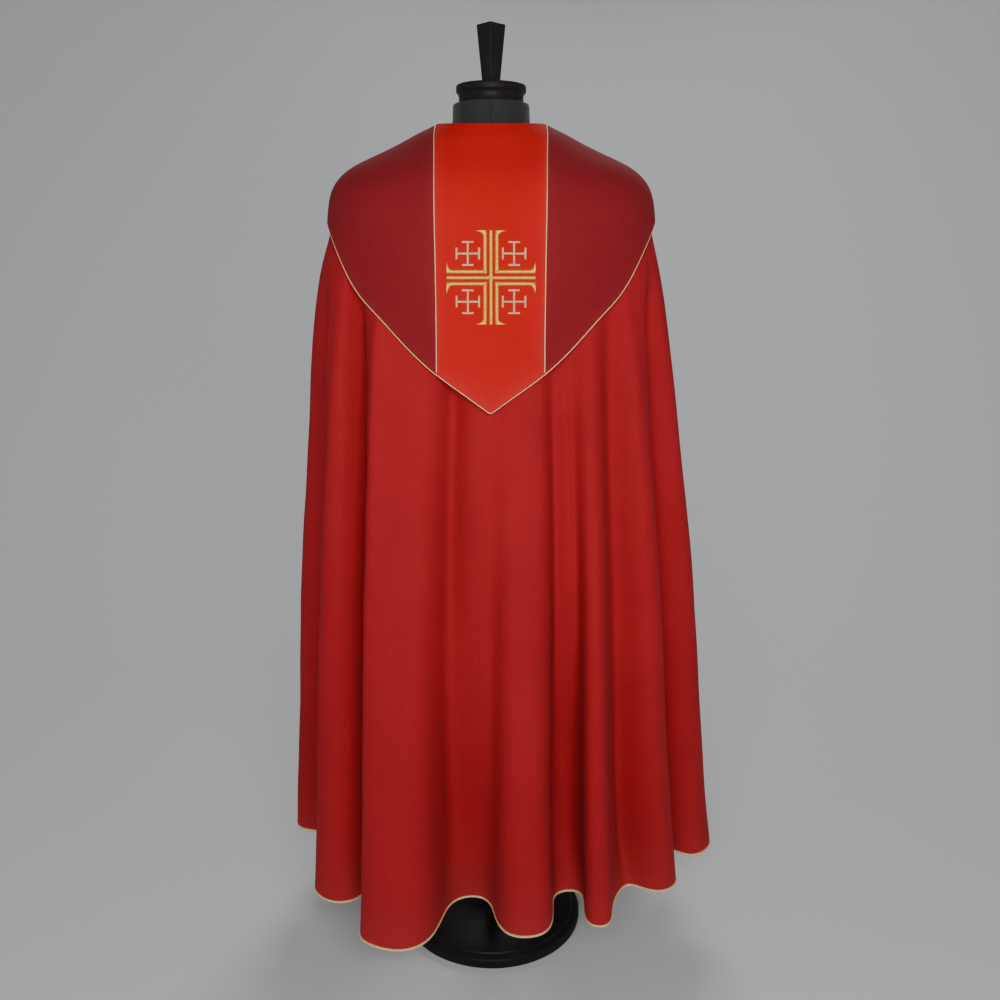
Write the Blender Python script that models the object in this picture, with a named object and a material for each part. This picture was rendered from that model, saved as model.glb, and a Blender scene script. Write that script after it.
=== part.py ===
"""A cope (a floor-length semicircular cloak with a shield-shaped hood) on a limbless dress form.

Metres, +Z up. The origin is on the floor, at the centre of the stand's base. The wearer faces +Y, so the hood
and its embroidered cross are on the -Y side, and +X is the wearer's right.

The cloth hangs on an envelope: a stack of rings, from the neckline over the shoulders to the hem. A place on it
is given by its bearing (degrees about the pole, 0 at the centre back, positive towards +X, 180 at the centre
front) and its drop (metres along the cloth, down from the neckline). The folds bend the mantle inwards from the
envelope; the hood, its cords and the embroidery lie on the envelope, each lifted off it by its own height.
"""

import math

import bmesh
import bpy
import numpy as np

# Driving sizes of the cloth.
MANTLE_WALL = 0.0025
HOOD_WALL = 0.0024
SEAM_GAP = 0.0003
FRONT_GAP_HALF = 0.046
HEM_CORD_RADIUS = 0.0022
HOOD_CORD_RADIUS = 0.0013
PIPING_RADIUS = 0.0014
CORD_SIDES = 6
CORD_SEAT = 1.5 * SEAM_GAP
PIPING_SHORTENING = 0.0015

# The envelope's rings: half-widths left and right, depths behind and before the pole, heights at the side, back
# and front, and how square the ring is (2 is an ellipse).
RING_COLUMNS = ("left", "right", "back", "front", "z_side", "z_back", "z_front", "square")
RINGS = {
    "neckline": (0.091, 0.091, 0.088, 0.086, 1.514, 1.506, 1.468, 2.00),
    "neck_root": (0.125, 0.125, 0.103, 0.097, 1.495, 1.483, 1.448, 2.05),
    "shoulder_mid": (0.159, 0.159, 0.117, 0.107, 1.477, 1.461, 1.427, 2.10),
    "shoulder_slope": (0.210, 0.210, 0.139, 0.124, 1.454, 1.428, 1.398, 2.20),
    "shoulder_point": (0.248, 0.248, 0.152, 0.136, 1.432, 1.400, 1.375, 2.30),
    "shoulder_turn": (0.268, 0.268, 0.160, 0.143, 1.405, 1.373, 1.352, 2.35),
    "upper_arm": (0.2735, 0.2735, 0.165, 0.148, 1.360, 1.342, 1.330, 2.40),
    "yoke": (0.289, 0.286, 0.170, 0.153, 1.300, 1.300, 1.298, 2.35),
    "elbow": (0.331, 0.330, 0.216, 0.193, 1.020, 1.020, 1.020, 2.25),
    "hip": (0.359, 0.367, 0.259, 0.230, 0.740, 0.740, 0.740, 2.20),
    "knee": (0.380, 0.396, 0.299, 0.266, 0.455, 0.453, 0.454, 2.15),
    "hem": (0.402, 0.430, 0.338, 0.302, 0.175, 0.168, 0.172, 2.10),
}
YOKE_ROW = list(RINGS).index("yoke")
RIDGE_SHARPNESS = 1.3

# The hem in plan, one row for each fold, from the left front edge round the back to the right front edge.
# A crest is half an ellipse (centre, half-width, height) and the trough after it a smaller one. The yoke bearings
# say where each hangs from, and the onset how late it opens on the way down (1 is steadily, 2 is late).
FOLD_COLUMNS = (
    "crest_x", "crest_y", "crest_half", "crest_high", "crest_bearing",
    "trough_x", "trough_y", "trough_half", "trough_bearing", "onset",
)
FOLDS = {
    "front_left": (-0.098, 0.262, 0.026, 0.026, -160.0, -0.143, 0.218, 0.016, -149.0, 1.3),
    "chest_left": (-0.205, 0.246, 0.042, 0.040, -138.0, -0.238, 0.180, 0.014, -127.0, 1.1),
    "arm_left": (-0.320, 0.172, 0.046, 0.044, -115.0, -0.298, 0.098, 0.013, -102.0, 1.0),
    "side_left": (-0.362, 0.060, 0.045, 0.040, -88.0, -0.272, -0.045, 0.015, -66.0, 0.9),
    "back_far_left": (-0.272, -0.160, 0.050, 0.055, -51.0, -0.193, -0.158, 0.012, -42.0, 0.8),
    "back_left": (-0.158, -0.278, 0.062, 0.062, -22.0, -0.036, -0.200, 0.022, -7.0, 1.5),
    "back_centre": (0.059, -0.257, 0.049, 0.047, 4.0, 0.143, -0.183, 0.018, 19.0, 1.2),
    "back_right": (0.188, -0.252, 0.024, 0.032, 27.0, 0.2475, -0.160, 0.020, 35.5, 1.2),
    "back_far_right": (0.302, -0.142, 0.040, 0.040, 46.0, 0.325, -0.055, 0.013, 58.0, 1.0),
    "side_right": (0.385, -0.010, 0.058, 0.045, 82.0, 0.334, 0.080, 0.013, 100.0, 1.0),
    "arm_right": (0.352, 0.148, 0.044, 0.044, 113.0, 0.270, 0.168, 0.014, 124.0, 1.0),
    "chest_right": (0.252, 0.230, 0.042, 0.042, 136.0, 0.178, 0.206, 0.014, 146.0, 1.1),
    "front_right": (0.128, 0.258, 0.034, 0.032, 158.0, None, None, None, None, 1.3),
}
EDGE_BEARING = 172.5
EDGE_HEM = (0.056, 0.274)
EDGE_ONSET = 1.3
CREST_KNOTS = (-90.0, -32.0, 32.0, 90.0)
TROUGH_KNOTS = (-50.0, 50.0)
TROUGH_FLATNESS = 0.6
BEARING_SMOOTHINGS = 12
FOLD_START = 0.12
SKIRT_ROWS = (0.07, 0.20, 0.40, 0.62, 0.82, 1.0)

# The hood as seen from behind: half-width and height of its lower edge, from the shoulder to the tip.
HOOD_EDGE = (
    (0.2715, 1.357), (0.2435, 1.302), (0.2165, 1.252), (0.175, 1.203),
    (0.1285, 1.153), (0.085, 1.113), (0.042, 1.082), (0.0, 1.052),
)
RIDGE_BEARING = 88.0
HOOD_ROW_STEPS = (4, 2, 1, 1, 1, 1, 5)
HOOD_ROWS_BELOW = 5
# Where the orphrey wraps the neck past this bearing, its points are spread by bearing and not by width.
SHARP_TURN_FROM = 30.0
SIDE_COLUMNS = 9
SIDE_FOOT_WIDTH = 0.002
TIP_BEND = 4.0
TIP_SQUARENESS = 8
ORPHREY_COLUMNS = 12
ORPHREY_TOP_HALF = 0.0905
ORPHREY_FOOT_HALF = 0.085
HOOD_TOP_DROP = 0.002
HOOD_LIFT_TOP = 0.0008
HOOD_LIFT = 0.0034
HOOD_LIFT_FULL_DROP = 0.05

# The embroidered cross: half-sizes of its strokes, in the plane of the hood's back.
CROSS_CENTRE = (0.0007, 1.263)
CROSS_HALF_WIDTH = 0.0697
CROSS_HALF_HEIGHT = 0.0725
CORE_HALF = 0.0028
STROKE_IN = 0.0064
STROKE_OUT = 0.0122
SERIF_REACH = 0.0258
SERIF_ROOT = 0.011
SERIF_BITE = (0.003, 0.004)
CROSSLET_OFFSET = (0.0364, 0.0372)
CROSSLET_HALF = 0.0203
CROSSLET_BAR = 0.0020
CROSSLET_END = 0.0097
STITCH_LIFT = 0.0005
STITCH_HIGH = 0.0009
STITCH_STEP = 0.026

# The morse, the strap across the breast.
MORSE_HALF_WIDTH = 0.088
MORSE_LOW = 1.318
MORSE_HIGH = 1.366
MORSE_LIFT = 0.0012
MORSE_COLUMNS = 12
MORSE_ROWS = 3
STUD_RADIUS = 0.006
STUD_HIGH = 0.0022
STUD_PLACE = (0.073, 0.013)
STUD_SIDES = 16
# Shares of the stud's radius and height, from its foot up.
STUD_PROFILE = ((1.0, 0.0), (1.0, 0.35), (0.8, 0.75), (0.35, 1.0))

# The dress form: rings like the envelope's, with one width for both sides.
FORM_COLUMNS = ("wide", "back", "front", "z_side", "z_back", "z_front", "square")
FORM_RINGS = (
    (0.0625, 0.0625, 0.0625, 1.5470, 1.547, 1.547, 2.00),
    (0.0650, 0.0650, 0.0650, 1.5430, 1.543, 1.543, 2.00),
    (0.0660, 0.0665, 0.0660, 1.5200, 1.517, 1.510, 2.00),
    (0.0725, 0.0730, 0.0690, 1.5030, 1.496, 1.480, 2.00),
    (0.0900, 0.0830, 0.0770, 1.4955, 1.482, 1.459, 2.05),
    (0.1250, 0.0960, 0.0900, 1.4900, 1.466, 1.434, 2.10),
    (0.1570, 0.1070, 0.0990, 1.4743, 1.446, 1.412, 2.15),
    (0.1900, 0.1200, 0.1100, 1.4590, 1.413, 1.380, 2.30),
    (0.2080, 0.1280, 0.1180, 1.4400, 1.380, 1.350, 2.40),
    (0.2150, 0.1320, 0.1230, 1.4050, 1.345, 1.320, 2.45),
    (0.2060, 0.1300, 0.1290, 1.3000, 1.295, 1.285, 2.35),
    (0.1880, 0.1200, 0.1250, 1.2100, 1.210, 1.210, 2.25),
    (0.1660, 0.1050, 0.1100, 1.0900, 1.090, 1.090, 2.15),
    (0.1760, 0.1150, 0.1130, 0.9800, 0.980, 0.980, 2.15),
    (0.1850, 0.1230, 0.1140, 0.8700, 0.870, 0.870, 2.15),
    (0.1820, 0.1200, 0.1110, 0.8050, 0.805, 0.805, 2.15),
    (0.1700, 0.1090, 0.1010, 0.7900, 0.790, 0.790, 2.15),
)
FORM_SIDES = 32
TURNED_STEPS = 40
POLE_STEPS = 24
POLE_RADIUS = 0.0165
FORM_FOOT = 0.790
# Turned profiles, radius and height, from the bottom up.
BASE_PROFILE = (
    (0.171, 0.0), (0.1745, 0.003), (0.1745, 0.017), (0.170, 0.021), (0.162, 0.022), (0.158, 0.0265),
    (0.060, 0.034), (0.040, 0.042), (0.030, 0.058), (0.022, 0.062),
)
CAP_PROFILE = (
    (0.0560, 1.5473), (0.0545, 1.5520), (0.0545, 1.5590), (0.0565, 1.5645),
    (0.0585, 1.5660), (0.0592, 1.5680), (0.0592, 1.5755), (0.0575, 1.5780),
)
FINIAL_FOOT = 1.5783
FINIAL_TOP = 1.674
FINIAL_FOOT_SIDE = 0.0215
FINIAL_TOP_SIDE = 0.0352
FINIAL_TURN = 42.0


# ---------------------------------------------------------------- making objects


def clear_scene():
    for old in list(bpy.data.objects):
        bpy.data.objects.remove(old, do_unlink=True)


def material(name, colour, roughness, metallic=0.0):
    made = bpy.data.materials.new(name)
    made.use_nodes = True
    shader = made.node_tree.nodes["Principled BSDF"]
    shader.inputs["Base Color"].default_value = (*colour, 1.0)
    shader.inputs["Roughness"].default_value = roughness
    shader.inputs["Metallic"].default_value = metallic
    return made


def add_object(name, vertices, faces, finish, smooth_angle=40.0):
    """A mesh object from points and faces, with its faces turned to point out."""
    mesh = bpy.data.meshes.new(name)
    mesh.from_pydata([tuple(map(float, point)) for point in vertices], [], faces)
    shape = bmesh.new()
    shape.from_mesh(mesh)
    bmesh.ops.triangulate(shape, faces=[face for face in shape.faces if len(face.verts) > 4])
    if shape.calc_volume(signed=True) < 0.0:
        bmesh.ops.reverse_faces(shape, faces=shape.faces[:])
    shape.to_mesh(mesh)
    shape.free()
    mesh.materials.append(finish)
    mesh.shade_smooth()
    mesh.set_sharp_from_angle(angle=math.radians(smooth_angle))
    made = bpy.data.objects.new(name, mesh)
    bpy.context.scene.collection.objects.link(made)
    return made


def grid_faces(rows, columns, start, closed):
    """Quads between neighbouring rows of a grid of points, numbered from start."""
    faces = []
    for i in range(rows - 1):
        for j in range(columns if closed else columns - 1):
            k = (j + 1) % columns
            here, below = start + i * columns, start + (i + 1) * columns
            faces.append((here + j, here + k, below + k, below + j))
    return faces


def add_shell(name, outer, inner, finish):
    """An open sheet of cloth with a wall: two grids of points, joined round their four edges.

    Each cell is split along the same diagonal on both sides, the one that is shorter outside, because a twisted
    cell that is split two ways would be thinner than the wall in its middle.
    """
    rows, columns = outer.shape[:2]
    count = rows * columns
    points = np.concatenate([outer.reshape(-1, 3), inner.reshape(-1, 3)])
    faces = []
    for a, b, c, d in grid_faces(rows, columns, 0, False):
        if np.linalg.norm(points[a] - points[c]) < np.linalg.norm(points[b] - points[d]):
            halves = ((a, b, c), (a, c, d))
        else:
            halves = ((a, b, d), (b, c, d))
        for half in halves:
            faces.append(half)
            faces.append(tuple(k + count for k in reversed(half)))
    border = list(range(columns))
    border += [i * columns + columns - 1 for i in range(1, rows)]
    border += [(rows - 1) * columns + j for j in range(columns - 2, -1, -1)]
    border += [i * columns for i in range(rows - 2, 0, -1)]
    for a, b in zip(border, border[1:] + border[:1]):
        faces.append((b, a, a + count, b + count))
    return add_object(name, points, faces, finish)


def add_stack(name, rings, finish, smooth_angle=40.0):
    """A closed solid from a stack of rings of equal count, with a flat face at each end."""
    rings = np.asarray(rings, float)
    rows, columns = rings.shape[:2]
    faces = grid_faces(rows, columns, 0, True)
    faces.append(tuple(reversed(range(columns))))
    faces.append(tuple((rows - 1) * columns + j for j in range(columns)))
    return add_object(name, rings.reshape(-1, 3), faces, finish, smooth_angle)


def add_turned(name, profile, finish, steps=TURNED_STEPS):
    angles = [2.0 * math.pi * k / steps for k in range(steps)]
    rings = [[(r * math.cos(a), r * math.sin(a), z) for a in angles] for r, z in profile]
    return add_stack(name, rings, finish)


def add_cord(name, path, radius, finish):
    """A round cord along a path of points, with flat ends."""
    path = np.asarray(path, float)
    along = unit(np.gradient(path, axis=0))
    side = unit(np.cross(along[0], (0.0, 0.0, 1.0) if abs(along[0][2]) < 0.9 else (1.0, 0.0, 0.0)))
    rings = []
    for point, forward in zip(path, along):
        side = unit(side - forward * side.dot(forward))
        up = np.cross(forward, side)
        angles = [2.0 * math.pi * k / CORD_SIDES for k in range(CORD_SIDES)]
        rings.append([point + radius * (math.cos(a) * side + math.sin(a) * up) for a in angles])
    return add_stack(name, rings, finish)


def unit(vectors):
    vectors = np.asarray(vectors, float)
    return vectors / np.linalg.norm(vectors, axis=-1, keepdims=True)


# ---------------------------------------------------------------- smooth curves


class Curve:
    """A natural cubic through given values, one row for each place along it."""

    def __init__(self, places, values):
        self.x = np.asarray(places, float)
        self.y = np.asarray(values, float).reshape(len(self.x), -1)
        step = np.diff(self.x)
        n = len(self.x)
        matrix = np.eye(n)
        right = np.zeros_like(self.y)
        for k in range(1, n - 1):
            matrix[k, k - 1 : k + 2] = step[k - 1], 2.0 * (step[k - 1] + step[k]), step[k]
            slope = (self.y[k + 1] - self.y[k]) / step[k] - (self.y[k] - self.y[k - 1]) / step[k - 1]
            right[k] = 6.0 * slope
        self.bend = np.linalg.solve(matrix, right)

    def __call__(self, place):
        k = int(np.clip(np.searchsorted(self.x, place) - 1, 0, len(self.x) - 2))
        h = self.x[k + 1] - self.x[k]
        a, b = (self.x[k + 1] - place) / h, (place - self.x[k]) / h
        bend = ((a**3 - a) * self.bend[k] + (b**3 - b) * self.bend[k + 1]) * h * h / 6.0
        return a * self.y[k] + b * self.y[k + 1] + bend


def halfway_search(low, high, is_past):
    """The place between low and high where is_past turns true."""
    for _ in range(40):
        middle = 0.5 * (low + high)
        if is_past(middle):
            high = middle
        else:
            low = middle
    return 0.5 * (low + high)


# ---------------------------------------------------------------- the envelope

ring_rows = np.array(list(RINGS.values()))
side_line = ring_rows[:, [0, 4]]
row_drops = np.concatenate([[0.0], np.cumsum(np.linalg.norm(np.diff(side_line, axis=0), axis=1))])
ring_curve = Curve(row_drops, ring_rows)
YOKE_DROP = row_drops[YOKE_ROW]
HEM_DROP = row_drops[-1]


def ring_at(drop):
    return dict(zip(RING_COLUMNS, ring_curve(drop)))


def ring_point(ring, bearing):
    """The point of a ring at a bearing in degrees."""
    s, c = math.sin(math.radians(bearing)), math.cos(math.radians(bearing))
    power = 2.0 / ring["square"]
    wide = ring["left"] if s < 0.0 else ring["right"]
    deep, z_end = (ring["back"], ring["z_back"]) if c > 0.0 else (-ring["front"], ring["z_front"])
    z = ring["z_side"] + (z_end - ring["z_side"]) * abs(c) ** RIDGE_SHARPNESS
    return np.array([math.copysign(wide * abs(s) ** power, s), -deep * abs(c) ** power, z])


def bearing_of(ring, x):
    """The bearing, on the back half of a ring, of a point x metres from its middle."""
    share = min(abs(x) / (ring["left"] if x < 0.0 else ring["right"]), 0.9998)
    return math.copysign(math.degrees(math.asin(share ** (ring["square"] / 2.0))), x)


def envelope(bearing, drop):
    """A point of the envelope. In front, the bearings are spread so that both front edges hang straight."""
    ring = ring_at(drop)
    if abs(bearing) > 90.0 and drop < YOKE_DROP:
        edge = 180.0 - bearing_of(ring, FRONT_GAP_HALF)
        bearing = math.copysign(90.0 + (abs(bearing) - 90.0) * (edge - 90.0) / (EDGE_BEARING - 90.0), bearing)
    return ring_point(ring, bearing)


def lifted(place, here, step=(0.5, 0.004)):
    """place(u, v) and its outward normal, from differences of size step."""
    du, dv = step
    u, v = here
    across = place(u + du, v) - place(u - du, v)
    down = place(u, v + dv) - place(u, v - dv)
    return place(u, v), unit(np.cross(down, across))


# ---------------------------------------------------------------- the mantle


def fold_knots():
    """The hem's knots in plan, with each one's yoke bearing and onset, from one front edge to the other."""
    rows = [dict(zip(FOLD_COLUMNS, row)) for row in FOLDS.values()]
    edge_x, edge_y = EDGE_HEM
    crests = [np.array([row["crest_x"], row["crest_y"]]) for row in rows]
    troughs = [np.array([row["trough_x"], row["trough_y"]]) for row in rows[:-1]]
    before = [np.array([-edge_x, edge_y])] + troughs
    after = troughs + [np.array([edge_x, edge_y])]
    knots, onsets = [], []

    def add(point, onset):
        knots.append(point)
        onsets.append(onset)

    add(np.array([-edge_x, edge_y]), EDGE_ONSET)
    for k, row in enumerate(rows):
        along = unit(after[k] - before[k])
        out = np.array([along[1], -along[0]])
        for angle in CREST_KNOTS:
            a = math.radians(angle)
            reach = row["crest_half"] * math.sin(a) * along + row["crest_high"] * math.cos(a) * out
            add(crests[k] + reach, row["onset"])
        if k == len(rows) - 1:
            continue
        along = unit(crests[k + 1] - crests[k])
        out = np.array([along[1], -along[0]])
        for angle in TROUGH_KNOTS:
            a = math.radians(angle)
            reach = row["trough_half"] * (math.sin(a) * along - TROUGH_FLATNESS * math.cos(a) * out)
            add(troughs[k] + reach, 0.5 * (row["onset"] + rows[k + 1]["onset"]))
    add(np.array([edge_x, edge_y]), EDGE_ONSET)

    knots = np.array(knots)
    length = np.concatenate([[0.0], np.cumsum(np.linalg.norm(np.diff(knots, axis=0), axis=1))])
    marks, mark_bearings = [0.0], [-EDGE_BEARING]
    index = 1
    for k, row in enumerate(rows):
        marks.append(0.5 * (length[index + 1] + length[index + 2]))
        mark_bearings.append(row["crest_bearing"])
        index += len(CREST_KNOTS)
        if k < len(rows) - 1:
            marks.append(0.5 * (length[index] + length[index + 1]))
            mark_bearings.append(row["trough_bearing"])
            index += len(TROUGH_KNOTS)
    marks.append(length[-1])
    mark_bearings.append(EDGE_BEARING)
    yoke_bearings = np.interp(length, marks, mark_bearings)
    return knots, length, yoke_bearings, np.array(onsets)


hem_knots, hem_length, yoke_bearings, fold_onsets = fold_knots()


def hem_bearings():
    """The bearing on the hem ring of each knot, even along the ring between the folds' middles."""
    raw = np.degrees(np.arctan2(hem_knots[:, 0], -hem_knots[:, 1]))
    smooth = np.copy(raw)
    for _ in range(BEARING_SMOOTHINGS):
        smooth[1:-1] = 0.25 * smooth[:-2] + 0.5 * smooth[1:-1] + 0.25 * smooth[2:]
    return np.maximum.accumulate(smooth)


knot_curve = Curve(hem_length, np.column_stack([hem_knots, yoke_bearings, hem_bearings(), fold_onsets]))


def mantle_point(place, drop):
    """A point of the mantle's outer face: place is metres along the hem from the left front edge."""
    hem_x, hem_y, yoke_bearing, hem_bearing, onset = knot_curve(place)
    if drop <= YOKE_DROP:
        return envelope(yoke_bearing, drop)
    share = (drop - YOKE_DROP) / (HEM_DROP - YOKE_DROP)
    bearing = yoke_bearing + (hem_bearing - yoke_bearing) * share
    start = min(share / FOLD_START, 1.0)
    open_share = share**onset * start * start * (3.0 - 2.0 * start)
    base = envelope(bearing, drop)
    fold = np.array([hem_x, hem_y, 0.0]) - envelope(hem_bearing, HEM_DROP)
    fold[2] = 0.0
    return base + fold * open_share


def mantle_rows():
    drops = list(row_drops[:YOKE_ROW])
    drops.append(0.5 * (row_drops[YOKE_ROW - 1] + YOKE_DROP))
    return drops + [YOKE_DROP + share * (HEM_DROP - YOKE_DROP) for share in (0.0, *SKIRT_ROWS)]


def mantle_grids():
    rows = mantle_rows()
    outer = np.zeros((len(rows), len(hem_length), 3))
    for i, drop in enumerate(rows):
        for j, place in enumerate(hem_length):
            outer[i, j] = mantle_point(place, drop)
    across = np.gradient(outer, axis=1)
    down = np.gradient(outer, axis=0)
    inner = outer - MANTLE_WALL * unit(np.cross(down, across))
    return outer, inner


# ---------------------------------------------------------------- the hood

edge_half_widths, edge_heights = np.array(HOOD_EDGE).T
hood_edge_curve = Curve(edge_half_widths[::-1], edge_heights[::-1])


def edge_height(x):
    """The height of the hood's lower edge, x metres to the side."""
    return float(hood_edge_curve(min(abs(x), HOOD_EDGE[0][0]))[0])


def back_point(x, drop):
    """The envelope's point that lies x metres to the side, at a drop, on its back half."""
    ring = ring_at(drop)
    return ring_point(ring, bearing_of(ring, x))


def drop_at(x, height):
    """The drop at which the back of the envelope is this high, x metres to the side."""
    return halfway_search(0.0, HEM_DROP, lambda drop: back_point(x, drop)[2] < height)


HOOD_FOOT_DROP = drop_at(ORPHREY_FOOT_HALF + SIDE_FOOT_WIDTH, edge_height(ORPHREY_FOOT_HALF + SIDE_FOOT_WIDTH))


def hood_rows():
    """The drops of the hood's rows, on the mantle's own rows down to the yoke and evenly below it."""
    drops = [HOOD_TOP_DROP]
    for end, steps in zip(row_drops[1 : YOKE_ROW + 1], HOOD_ROW_STEPS):
        drops += list(np.linspace(drops[-1], end, steps + 1)[1:])
    return drops + list(np.linspace(YOKE_DROP, HOOD_FOOT_DROP, HOOD_ROWS_BELOW + 1)[1:])


def hood_at(bearing, drop, extra=0.0):
    """A point over the envelope's back, at the hood's inner face plus extra."""
    share = min(drop / HOOD_LIFT_FULL_DROP, 1.0)
    lift = HOOD_LIFT_TOP + (HOOD_LIFT - HOOD_LIFT_TOP) * share * share * (3.0 - 2.0 * share)
    point, normal = lifted(lambda b, d: ring_point(ring_at(d), b), (bearing, drop))
    return point + normal * (lift + extra)


def hood_over(x, drop, extra=0.0):
    return hood_at(bearing_of(ring_at(drop), x), drop, extra)


def orphrey_half(drop):
    share = min(drop / HOOD_FOOT_DROP, 1.0)
    return ORPHREY_TOP_HALF + (ORPHREY_FOOT_HALF - ORPHREY_TOP_HALF) * share


def edge_bearing(drop):
    """The bearing of the hood's edge at a drop: the shoulder ridge, or where its lower edge comes in."""
    ring = ring_at(drop)

    def is_past(bearing):
        point = ring_point(ring, bearing)
        return point[2] < edge_height(point[0])

    return halfway_search(0.0, RIDGE_BEARING, is_past)


def panel_grids(rows):
    """Outer and inner points of a hood panel, from its rows, each a list of (bearing, drop)."""
    outer = np.array([[hood_at(bearing, drop, HOOD_WALL) for bearing, drop in row] for row in rows])
    inner = np.array([[hood_at(bearing, drop) for bearing, drop in row] for row in rows])
    return outer, inner


def side_rows(side):
    """A side panel's rows, each from the orphrey seam out to the hood's edge."""
    rows = []
    for drop in hood_rows():
        seam = bearing_of(ring_at(drop), orphrey_half(drop) + 0.5 * SEAM_GAP)
        edge = edge_bearing(drop)
        rows.append([(side * bearing, drop) for bearing in np.linspace(seam, edge, SIDE_COLUMNS)])
    return rows


def orphrey_rows():
    """The orphrey's rows: level at the neck, and more and more bent towards its point below."""
    tip_drop = drop_at(0.0, edge_height(0.0))
    rows = []
    for drop in hood_rows():
        row = []
        for share in np.linspace(-1.0, 1.0, ORPHREY_COLUMNS + 1):
            foot = drop_at(share * ORPHREY_FOOT_HALF, edge_height(share * ORPHREY_FOOT_HALF))
            stretch = (min(foot, tip_drop) - HOOD_FOOT_DROP) * (drop / HOOD_FOOT_DROP) ** TIP_BEND
            low = drop + stretch * (1.0 - abs(share) ** TIP_SQUARENESS)
            half = bearing_of(ring_at(low), orphrey_half(drop) - 0.5 * SEAM_GAP)
            row.append((bearing_share(ring_at(low), share, half, orphrey_half(drop)), low))
        rows.append(row)
    return rows


def bearing_share(ring, share, half_bearing, half_width):
    """A bearing across the orphrey: even along x low down, even in bearing where the ring turns sharply."""
    by_width = bearing_of(ring, share * half_width)
    turn = max(half_bearing - SHARP_TURN_FROM, 0.0) / (90.0 - SHARP_TURN_FROM)
    return (1.0 - turn) * by_width * half_bearing / bearing_of(ring, half_width) + turn * share * half_bearing


def edge_path(edge, inside, clearance):
    """Points set out from an edge, away from the row inside it and square to the edge."""
    along = unit(np.gradient(edge, axis=0))
    out = edge - inside
    out = unit(out - along * np.sum(out * along, axis=1, keepdims=True))
    return edge + out * clearance


# ---------------------------------------------------------------- the embroidery


def cross_outlines():
    """Outlines of the strokes about the cross's centre, in (x, z), by name."""
    wide, high = CROSS_HALF_WIDTH, CROSS_HALF_HEIGHT
    core = CORE_HALF
    bite_x, bite_z = SERIF_BITE
    outlines = {
        "cross_core": [
            (core, core), (core, high), (-core, high), (-core, core), (-wide, core), (-wide, -core),
            (-core, -core), (-core, -high), (core, -high), (core, -core), (wide, -core), (wide, core),
        ]
    }
    corner = [
        (STROKE_IN, STROKE_IN), (STROKE_IN, high), (SERIF_REACH, high), (STROKE_OUT + bite_x, high - bite_z),
        (STROKE_OUT, high - SERIF_ROOT), (STROKE_OUT, STROKE_OUT), (wide - SERIF_ROOT, STROKE_OUT),
        (wide - bite_z, STROKE_OUT + bite_x), (wide, SERIF_REACH), (wide, STROKE_IN),
    ]
    half, bar, end = CROSSLET_HALF, CROSSLET_BAR, CROSSLET_END
    foot = half - 2.0 * bar
    arm = [(bar, bar), (bar, foot), (end, foot), (end, half), (-end, half), (-end, foot), (-bar, foot)]
    crosslet = []
    for turn in range(4):
        c, s = math.cos(math.pi * turn / 2.0), math.sin(math.pi * turn / 2.0)
        crosslet += [(x * c - z * s, x * s + z * c) for x, z in arm]
    shift_x, shift_z = CROSSLET_OFFSET
    quarters = (("upper_left", -1, 1), ("upper_right", 1, 1), ("lower_left", -1, -1), ("lower_right", 1, -1))
    for name, sx, sz in quarters:
        outlines["cross_corner_" + name] = [(sx * x, sz * z) for x, z in corner]
        outlines["crosslet_" + name] = [(x + sx * shift_x, z + sz * shift_z) for x, z in crosslet]
    return outlines


def add_stitching(name, outline, finish):
    """A raised patch of stitching on the orphrey: a flat outline, cut into a net and laid on the cloth."""
    shape = bmesh.new()
    shape.faces.new([shape.verts.new((x, 0.0, z)) for x, z in outline])
    cuts = math.ceil(CROSS_HALF_HEIGHT / STITCH_STEP)
    for axis in ((1.0, 0.0, 0.0), (0.0, 0.0, 1.0)):
        for k in range(-cuts, cuts):
            cut = tuple((k + 0.5) * STITCH_STEP * a for a in axis)
            geometry = shape.verts[:] + shape.edges[:] + shape.faces[:]
            bmesh.ops.bisect_plane(shape, geom=geometry, plane_co=cut, plane_no=axis, dist=1e-6)
    bmesh.ops.triangulate(shape, faces=shape.faces[:])
    shape.verts.index_update()
    count = len(shape.verts)
    lower, upper = [], []
    for vertex in shape.verts:
        x, z = vertex.co.x + CROSS_CENTRE[0], vertex.co.z + CROSS_CENTRE[1]
        drop = drop_at(x, z)
        lower.append(hood_over(x, drop, HOOD_WALL + STITCH_LIFT))
        upper.append(hood_over(x, drop, HOOD_WALL + STITCH_LIFT + STITCH_HIGH))
    faces = [tuple(v.index for v in face.verts) for face in shape.faces]
    solid = [tuple(i + count for i in face) for face in faces]
    solid += [tuple(reversed(face)) for face in faces]
    for edge in shape.edges:
        if len(edge.link_faces) == 1:
            corners = [v.index for v in edge.link_faces[0].verts]
            a, b = (v.index for v in edge.verts)
            if corners[(corners.index(a) + 1) % 3] != b:
                a, b = b, a
            solid.append((a, b, b + count, a + count))
    shape.free()
    add_object(name, lower + upper, solid, finish)


# ---------------------------------------------------------------- the morse


def front_point(x, height, lift):
    """A point before the envelope's front, x metres to the side, at a height."""

    def place(u, drop):
        ring = ring_at(drop)
        return ring_point(ring, 180.0 - bearing_of(ring, u))

    drop = halfway_search(0.0, HEM_DROP, lambda d: place(x, d)[2] < height)
    point, normal = lifted(place, (x, drop), (0.004, 0.004))
    return point + math.copysign(lift, normal[1]) * normal


# ---------------------------------------------------------------- building it all


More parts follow.
